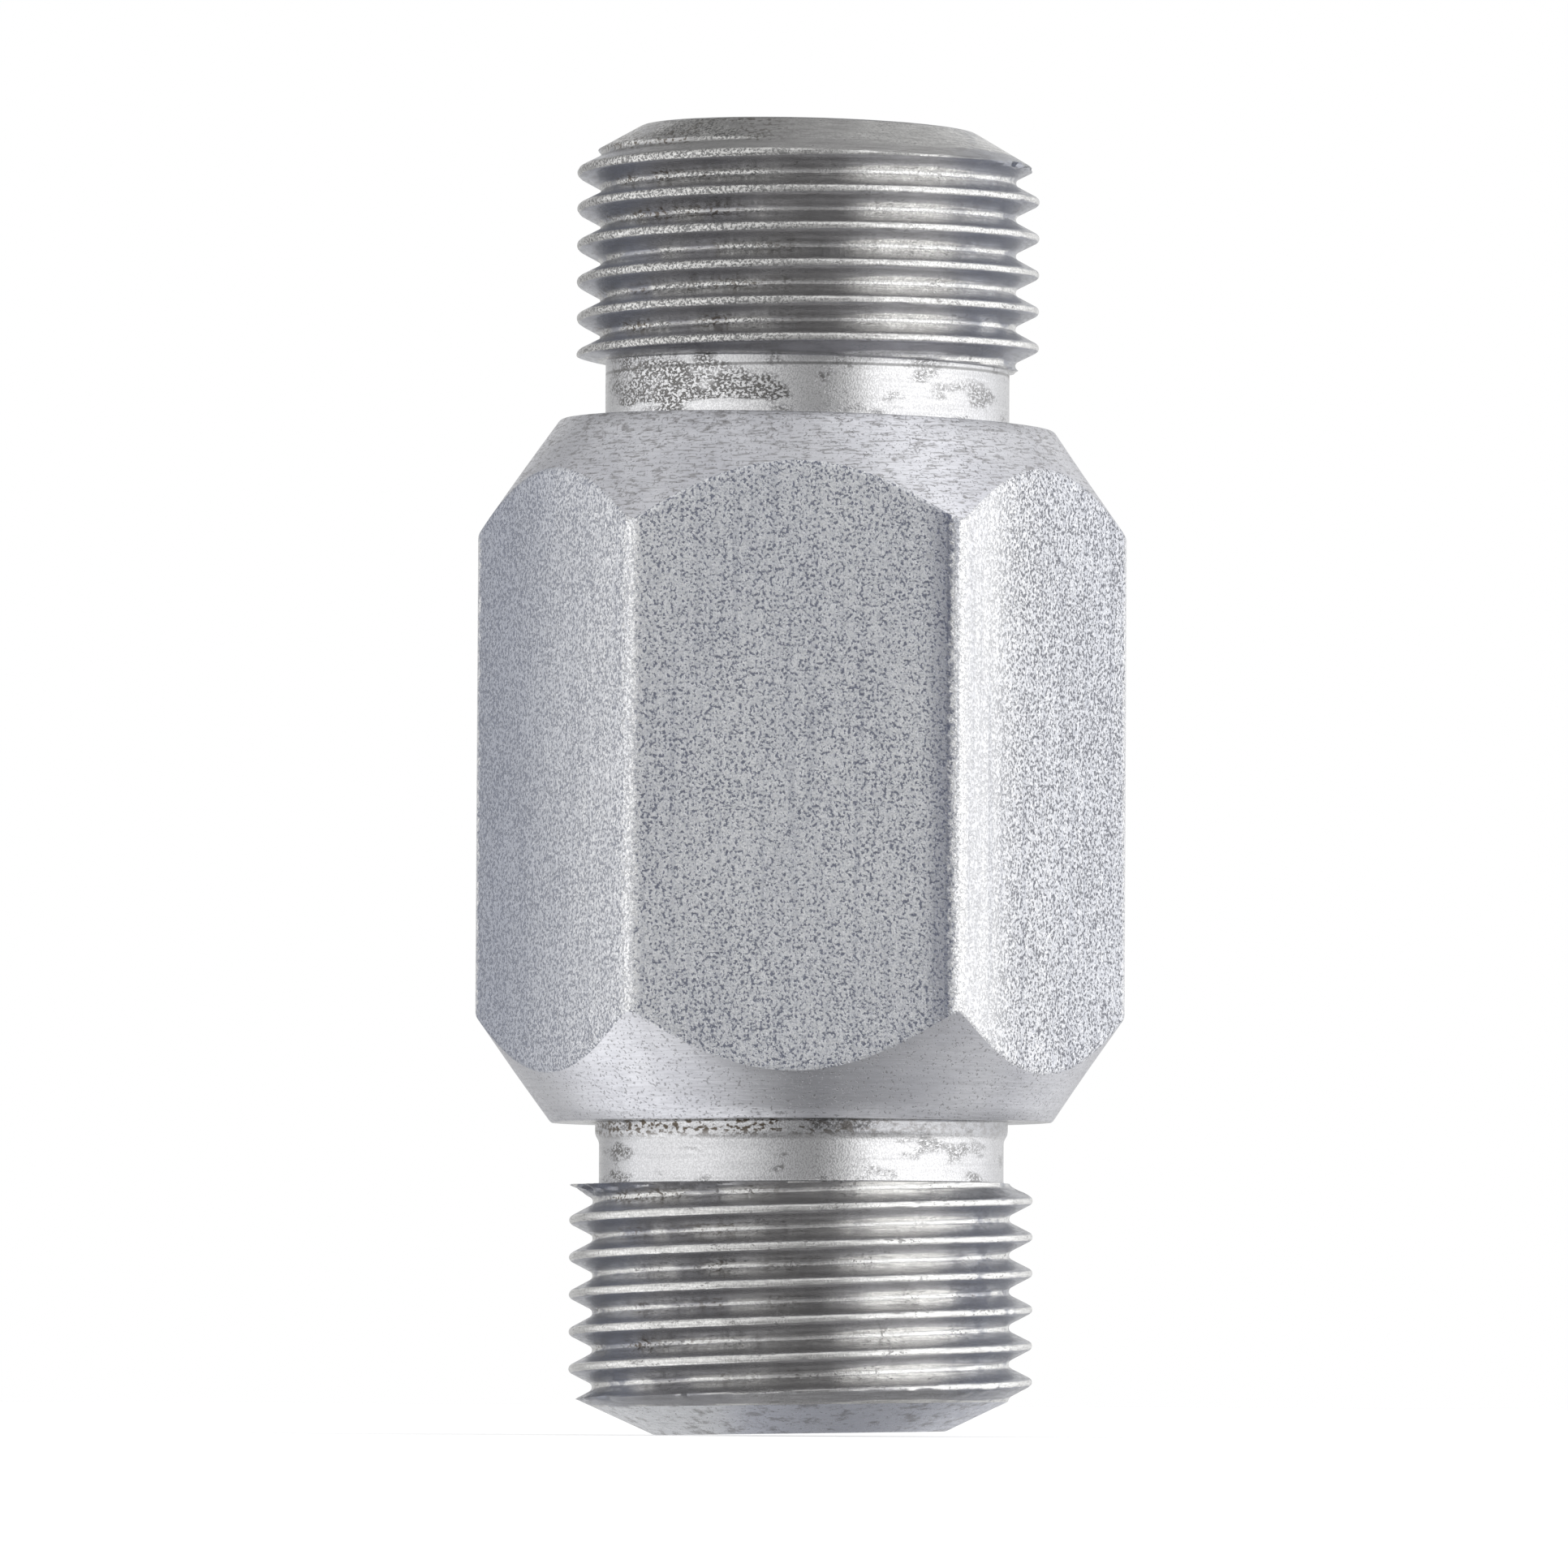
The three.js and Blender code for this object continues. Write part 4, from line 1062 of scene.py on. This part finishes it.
def turned_necks():
    """Relief necks: bright, with clusters of open pores, tool rings and grime under the inlet's shoulder, and
    painted shade towards their sides, on the inlet's left and under its shoulder.
    """
    s = Surface("turned_necks", Metallic=1.0)
    inlet = s.by_end(1.0, 0.0)
    above = s.math("SUBTRACT", s.z, LENGTH - OUTLET_SHANK)  # the outlet's shoulder
    below = s.math("SUBTRACT", INLET_SHANK, s.z)  # the inlet's shoulder
    grain = s.between(s.noise(0.045, roughness=0.6), 0.4, 0.62)
    rings = s.turning(0.1)
    tool_line = s.within(above, (2.4, 2.48), (2.54, 2.62))

    # Pores open in patches: on both sides of the outlet's neck, and low on the right of the inlet's.
    pores = s.between(s.noise(0.065, 3, (0.75, 0.75, 1.2), roughness=0.6), 0.48, 0.53)
    band = s.within(above, (0.6, 0.95), (2.4, 2.85), after=0.35)
    left_patch = s.times(band, s.within(s.x, (-9.8, -8.2), (-1.5, 0.3), before=0.4))
    right_patch = s.times(band, s.within(s.x, (3.5, 5.5), (9.0, 9.9)), 0.4)
    inlet_patch = s.times(s.between(below, 0.75, 1.15), s.within(s.x, (4.0, 6.5), (8.9, 9.7)), 0.5)
    patches = s.math("ADD", s.math("ADD", left_patch, right_patch), inlet_patch)
    clusters = s.math("MULTIPLY_ADD", patches, 0.26, s.noise(0.9, 5, (0.7, 0.7, 1.6)))
    pitted = s.times(pores, s.between(clusters, 0.54, 0.7))

    grime = s.times(
        inlet,
        s.between(below, 1.05, 0.45),
        s.between(s.x, 7.0, -2.0, 0.25, 1.0),
        s.between(s.radius(), 10.4, 11.0, 1.0, 0.25),
        s.between(s.noise(0.1, 4, (0.6, 0.6, 1)), 0.48, 0.58),
    )
    metal = s.layers(
        s.mix(s.between(rings, 0.4, 0.7, 0.0, 0.25), (0.84, 0.84, 0.85), (0.5, 0.5, 0.51)),
        (s.between(above, 2.5, 2.8, 0.0, 0.4), (0.45, 0.45, 0.46)),
        # Painted shade: darker towards both sides of the necks, and more on the left of the inlet's neck.
        (s.between(s.x, 7.0, 9.3, 0.0, 0.5), (0.5, 0.505, 0.53)),
        (s.between(s.x, -6.0, -8.5, 0.0, 0.4), (0.5, 0.505, 0.53)),
        (s.times(inlet, s.between(s.x, 3.0, -1.0, 0.0, 0.25)), (0.45, 0.455, 0.48)),
        # Painted shade: a dark band on the collar just under the inlet's shoulder, stronger right of the
        # middle.
        (s.times(inlet, s.between(below, 0.85, 0.55), s.between(s.x, -1, 2, 0.1, 0.55)), (0.3, 0.305, 0.33)),
        (s.times(left_patch, 0.12), 0.45),
        (s.times(grain, 0.35), (0.33, 0.33, 0.34)),
        (s.times(tool_line, 0.75), 0.2),
        (s.times(pitted, s.between(s.x, 1, 3, 0.9, 0.6)), (0.11, 0.105, 0.1)),
        (grime, (0.12, 0.1, 0.08)),
    )
    roughness = s.between(rings, 0.3, 0.7, 0.16, 0.26)
    return s.finished(metal, roughness, (s.inverse(pitted), 0.03), (rings, 0.006), (grain, 0.004))


def cut_threads():
    """Threads: painted highlights along the crests and roots, speckled on the left; smooth flanks with
    painted shade; dirt in the roots.
    """
    s = Surface("cut_threads", Metallic=1.0)
    depth = s.math("SUBTRACT", PIPE_THREAD["major"], s.radius(s.by_end(INLET_OFFSET, OUTLET_OFFSET)))
    left = s.between(s.x, 3.0, -5.0)
    # A painted highlight in a band right of the middle and a painted dark band in the middle; the crest and
    # root lines are painted highlights, wider in the highlight band and dimmed in the dark band.
    painted_highlight_band = s.within(s.x, (1.6, 4.4), (6.2, 9.2))
    painted_dark_band = s.times(s.within(s.x, (-2.5, -0.5), (1.6, 2.6)), 0.6)
    wider = s.times(left, s.by_end(0.05, 0.07))
    crest = s.between(s.math("SUBTRACT", depth, wider), 0.02, 0.08, 1.0, 0.0)
    broken = s.between(s.noise(0.8, 4, (0.5, 0.5, 1)), 0.4, 0.5)
    root = s.between(s.math("MULTIPLY_ADD", painted_highlight_band, 0.22, depth), 0.98, 1.16)
    root = s.times(root, s.math("MAXIMUM", broken, painted_highlight_band), s.inverse(painted_dark_band))
    lines = s.math("ADD", crest, root, clamp=True)

    streaks = s.noise(0.05, 3, (0.07, 0.07, 1), roughness=0.65)
    speckle = s.between(s.noise(0.065, 3, roughness=0.65), 0.47, 0.55)
    spots = s.times(speckle, s.by_end(0.2, 1.0), s.between(left, 0, 1, 0.3, 0.95), lines)
    torn = s.between(s.noise(0.07, 4, (0.5, 0.5, 1), roughness=0.7), 0.56, 0.64)
    torn = s.times(torn, s.between(s.noise(1.3, 3), 0.46, 0.62, 0.15, 1.0))
    dirt = s.between(s.noise(0.08, 3, (0.6, 0.6, 1)), 0.52, 0.6)
    dirt = s.times(dirt, s.between(s.noise(1.6, 3), 0.42, 0.6), left, s.between(depth, 0.75, 1.0))

    normal = s.node("ShaderNodeNewGeometry").outputs["Normal"]
    upwards = s.node("ShaderNodeSeparateXYZ", [normal]).outputs["Z"]
    from_middle = s.math("ABSOLUTE", s.x)
    shine = s.mix(s.times(left, s.by_end(0.55, 1.0)), (0.95, 0.945, 0.93), (0.72, 0.715, 0.7))
    metal = s.layers(
        # Painted light and shade on the flanks: darker facing down, on the left and towards the sides,
        # lighter in the middle and in the highlight band; the crest and root lines are painted highlights,
        # darker on the left.
        s.mix(s.between(upwards, -0.45, 0.45), (0.34, 0.34, 0.365), (0.62, 0.615, 0.61)),
        (s.times(left, 0.25), (0.2, 0.2, 0.21)),
        (s.times(painted_highlight_band, 0.22), (0.85, 0.845, 0.84)),
        (s.between(from_middle, 4.5, 1.0, 0.0, 0.3), (0.8, 0.79, 0.78)),
        (s.between(from_middle, 6.5, 9.5, 0.0, 0.65), (0.27, 0.29, 0.35)),
        (s.times(lines, 0.9), shine),
        (s.between(streaks, 0.4, 0.68, 0.0, 0.35), (0.24, 0.235, 0.235)),
        (spots, 0.2),
        (s.times(torn, 0.6), (0.16, 0.155, 0.155)),
        (s.times(dirt, 0.8), (0.09, 0.07, 0.05)),
    )
    roughness = s.between(streaks, 0.3, 0.7, 0.15, 0.26)
    return s.finished(metal, roughness, (streaks, 0.005), (s.inverse(torn), 0.012), (speckle, 0.003))


def bored_steel():
    s = Surface("bored_steel", Metallic=1.0)
    rings = s.noise(0.1, 3, (0.03, 0.03, 1), roughness=0.6)
    metal = s.mix(s.between(rings, 0.35, 0.7), (0.5, 0.5, 0.51), (0.36, 0.36, 0.37))
    return s.finished(metal, s.between(rings, 0.3, 0.7, 0.3, 0.42), (rings, 0.008))


def small_turned_steel():
    """The inserts: clean bright steel, with the lathe's rings on every face."""
    s = Surface("small_turned_steel", Metallic=1.0)
    rings = s.turning(0.06)
    metal = s.layers(
        s.mix(s.between(rings, 0.35, 0.7), (0.62, 0.62, 0.63), (0.47, 0.47, 0.48)),
        (s.between(s.turning(0.5, 2, 0.5), 0.4, 0.65, 0.0, 0.25), (0.4, 0.4, 0.41)),
        (s.between(s.noise(0.9, 4), 0.55, 0.72, 0.0, 0.35), (0.33, 0.3, 0.27)),
    )
    return s.finished(metal, s.between(rings, 0.3, 0.7, 0.22, 0.34), (rings, 0.006))


def drawn_spring_steel():
    """Wire and sprung strip: darker, smooth, with short scratches and a few heat stains."""
    s = Surface("drawn_spring_steel", Metallic=1.0)
    scratches = s.noise(0.05, 3, (0.15, 0.15, 1), roughness=0.65)
    metal = s.mix(s.between(scratches, 0.4, 0.7), (0.5, 0.49, 0.48), (0.32, 0.31, 0.31))
    metal = s.mix(s.between(s.noise(1.2, 3), 0.5, 0.7, 0.0, 0.5), metal, (0.36, 0.3, 0.24))
    return s.finished(metal, s.between(scratches, 0.3, 0.7, 0.24, 0.36), (scratches, 0.004))


def sintered_bronze():
    """Bronze balls about a quarter of a millimetre across, fused where they touch, with dark gaps."""
    s = Surface("sintered_bronze", Metallic=1.0)
    cells = s.node("ShaderNodeTexVoronoi", {"Vector": s.place, "Scale": 4.2}).outputs
    shade = s.node("ShaderNodeSeparateColor", [cells["Color"]]).outputs[0]
    bronze = s.layers(
        s.mix(shade, (0.62, 0.4, 0.2), (0.5, 0.28, 0.12)),
        (s.between(s.noise(1.0, 3), 0.5, 0.7, 0.0, 0.6), (0.3, 0.2, 0.12)),
        (s.between(cells["Distance"], 0.35, 0.62), (0.05, 0.03, 0.015)),
    )
    relief = (s.inverse(cells["Distance"]), 0.12), (s.noise(0.05), 0.01)
    return s.finished(bronze, s.between(shade, 0, 1, 0.35, 0.5), *relief)


def moulded_rubber():
    s = Surface("moulded_rubber", Specular_IOR_Level=0.4)
    grain = s.noise(0.05, 3, roughness=0.6)
    black = s.mix(s.between(s.noise(0.8, 4), 0.45, 0.75), (0.018, 0.018, 0.019), (0.045, 0.044, 0.043))
    return s.finished(black, s.between(grain, 0.3, 0.7, 0.55, 0.75), (grain, 0.006))


def cast_silicone():
    """Milky silicone rubber, with fine dust on it and a faint mould grain."""
    s = Surface("cast_silicone", Specular_IOR_Level=0.45)
    cloud = s.noise(0.7, 3)
    milk = s.mix(s.between(cloud, 0.35, 0.65), (0.6, 0.6, 0.56), (0.69, 0.69, 0.66))
    dusty = s.mix(s.between(s.noise(0.08), 0.62, 0.72, 0.0, 0.5), milk, (0.4, 0.39, 0.36))
    return s.finished(dusty, s.between(cloud, 0.3, 0.7, 0.42, 0.58), (s.noise(0.05), 0.004))


def machined_ptfe():
    """Waxy white plastic, with the fine rings that turning leaves in it."""
    s = Surface("machined_ptfe", Specular_IOR_Level=0.35)
    rings = s.turning(0.08)
    white = s.mix(s.between(s.noise(0.9, 3), 0.35, 0.65), (0.8, 0.79, 0.75), (0.86, 0.85, 0.82))
    ringed = s.mix(s.between(rings, 0.45, 0.75, 0.0, 0.4), white, (0.66, 0.65, 0.61))
    return s.finished(ringed, s.between(rings, 0.3, 0.7, 0.42, 0.55), (rings, 0.008))


def porous_ceramic():
    """Fine white grains fired together, with open pores between them."""
    s = Surface("porous_ceramic", Specular_IOR_Level=0.3)
    cells = s.node("ShaderNodeTexVoronoi", {"Vector": s.place, "Scale": 7.0}).outputs
    shade = s.node("ShaderNodeSeparateColor", [cells["Color"]]).outputs[0]
    pores = s.between(s.noise(0.1, 3), 0.56, 0.66)
    grains = s.layers(
        s.mix(shade, (0.72, 0.7, 0.64), (0.86, 0.84, 0.79)),
        (s.between(s.noise(1.6, 4), 0.5, 0.72, 0.0, 0.5), (0.62, 0.58, 0.48)),
        (s.times(pores, 0.8), (0.2, 0.185, 0.16)),
    )
    relief = (s.inverse(cells["Distance"]), 0.05), (s.inverse(pores), 0.06)
    return s.finished(grains, s.between(shade, 0, 1, 0.85, 0.98), *relief)


# ---- Studio -------------------------------------------------------------------------------------------

# Brightness of the studio by direction: angles in degrees, then levels. Each list runs from behind the part,
# by its left side (-X), the camera's side at 0 and its right side (+X), to behind it again.
LEVEL_LIGHT = {
    -180: 0.75, -140: 0.55, -118: 1.03, -107: 1.3, -88: 1.08, -60: 1.18, -30: 0.86, -6: 0.4, 12: 0.28,
    26: 0.55, 40: 1.35, 70: 1.46, 95: 1.34, 120: 1.42, 145: 0.98, 180: 0.75,
}
UPPER_LIGHT = {
    -180: 0.36, -155: 0.28, -115: 0.75, -40: 0.8, 0: 0.64, 50: 0.95, 90: 1.4, 122: 0.92, 150: 0.5, 180: 0.36,
}
LOWER_LIGHT = {
    -180: 0.33, -167: 0.6, -150: 0.55, -108: 1.4, -70: 1.0, -30: 0.4, 0: 0.26, 50: 0.42, 100: 0.72, 150: 0.42,
    180: 0.33,
}
LIGHT_CEILING = 1.6  # a colour ramp holds up to 1, so levels are divided by this and multiplied back
UPPER_BLEND = (0.3, 0.7)  # a direction's Z, from level to upper light
LOWER_BLEND = (-0.3, -0.72)

FLOOR_SIZE_M = 12
FLOOR_HEIGHT = -0.13  # just under the lowest point of the inlet's face, which stands askew

# The camera looks at the part from just to the right of its front, from near the floor.
CAMERA_AZIMUTH = math.radians(1.4)
CAMERA_DISTANCE = 760
CAMERA_HEIGHT = 1.5
TARGET_HEIGHT = 32.1
SIDE_STEP = -0.84  # the part stands this much right of the picture's middle
CAMERA_ROLL = math.radians(0.3)
CAMERA_LENS = 352.9
SENSOR_WIDTH = 36
CLIP_START_M = 0.01


def camera():
    eye = linked("camera", bpy.data.cameras.new("camera"))
    eye.data.lens = CAMERA_LENS
    eye.data.sensor_width = SENSOR_WIDTH
    eye.data.clip_start = CLIP_START_M
    right = Vector((math.cos(CAMERA_AZIMUTH), math.sin(CAMERA_AZIMUTH), 0))
    back = Vector((right.y, -right.x, 0))
    eye.location = (back * CAMERA_DISTANCE + right * SIDE_STEP + Vector((0, 0, CAMERA_HEIGHT))) * MM
    target = (right * SIDE_STEP + Vector((0, 0, TARGET_HEIGHT))) * MM
    aim = (target - eye.location).to_track_quat("-Z", "Y")
    eye.rotation_euler = (aim @ Quaternion((0, 0, 1), CAMERA_ROLL)).to_euler()
    bpy.context.scene.camera = eye


def studio_world():
    """Soft boxes all round, as one smooth pattern of light. The camera itself sees plain white."""
    world = bpy.data.worlds.new("studio")
    bpy.context.scene.world = world
    world.use_nodes = True
    tree = world.node_tree

    def node(kind, *inputs, **settings):
        return add_node(tree, kind, inputs, **settings).outputs[0]

    def ramp(levels):
        """The levels' colour at the azimuth, as a share of a full turn."""
        made = add_node(tree, "ShaderNodeValToRGB", [turn])
        made.color_ramp.interpolation = "EASE"
        stops = made.color_ramp.elements
        for index, (angle, level) in enumerate(levels.items()):
            place = angle / 360 + 0.5
            stop = stops[index] if index < 2 else stops.new(place)  # a new ramp has two stops
            stop.position = place
            stop.color = (*(level / LIGHT_CEILING,) * 3, 1)
        return made.outputs["Color"]

    def blend(low, high, first, second):
        """From one colour to another as the direction's Z goes from low to high."""
        share = node("ShaderNodeMapRange", z, low, high, 0.0, 1.0, interpolation_type="SMOOTHSTEP")
        return node("ShaderNodeMixRGB", share, first, second)

    direction = add_node(tree, "ShaderNodeTexCoord").outputs["Generated"]
    x, y, z = add_node(tree, "ShaderNodeSeparateXYZ", [direction]).outputs
    forwards = node("ShaderNodeMath", y, -1.0, operation="MULTIPLY")
    azimuth = node("ShaderNodeMath", x, forwards, operation="ARCTAN2")
    turn = node("ShaderNodeMath", azimuth, 1 / FULL_TURN, 0.5, operation="MULTIPLY_ADD")
    light = blend(*UPPER_BLEND, ramp(LEVEL_LIGHT), ramp(UPPER_LIGHT))
    light = blend(*LOWER_BLEND, light, ramp(LOWER_LIGHT))
    seen = add_node(tree, "ShaderNodeLightPath").outputs["Is Camera Ray"]
    white = rgba(1 / LIGHT_CEILING)
    background = tree.nodes["Background"]
    tree.links.new(node("ShaderNodeMixRGB", seen, light, white), background.inputs["Color"])
    background.inputs["Strength"].default_value = LIGHT_CEILING


def studio_floor():
    """A pale floor. It glows a little, so that it runs into the white behind without a line."""
    half = FLOOR_SIZE_M / 2
    level = FLOOR_HEIGHT * MM
    corners = [(-half, -half, level), (half, -half, level), (half, half, level), (-half, half, level)]
    mesh = bpy.data.meshes.new("floor")
    mesh.from_pydata(corners, [], [(0, 1, 2, 3)])
    looks = {"Base_Color": rgba(0.8), "Roughness": 0.9, "Emission_Color": rgba(1), "Emission_Strength": 0.45}
    mesh.materials.append(Surface("floor", **looks).material)
    floor = linked("floor", mesh)
    floor.visible_glossy = False


# ---- Assembly -----------------------------------------------------------------------------------------

camera()
studio_world()
studio_floor()
bpy.context.scene.view_settings.view_transform = "Standard"

body = housing([drawn_bar(), turned_faces(), turned_necks(), cut_threads(), bored_steel()])
settle(body, "housing", "housing", "bar_steel")

finishes = {
    "turned_steel": small_turned_steel(),
    "spring_steel": drawn_spring_steel(),
    "sintered_bronze": sintered_bronze(),
    "black_rubber": moulded_rubber(),
    "silicone": cast_silicone(),
    "ptfe": machined_ptfe(),
    "porous_ceramic": porous_ceramic(),
}
turned_pieces(finishes)
drilled_pieces(finishes)
seal_screw(finishes)
seat_oring(finishes)
wave_washer(finishes)
retaining_ring(finishes)
valve_spring(finishes)
filter_circlip(finishes)
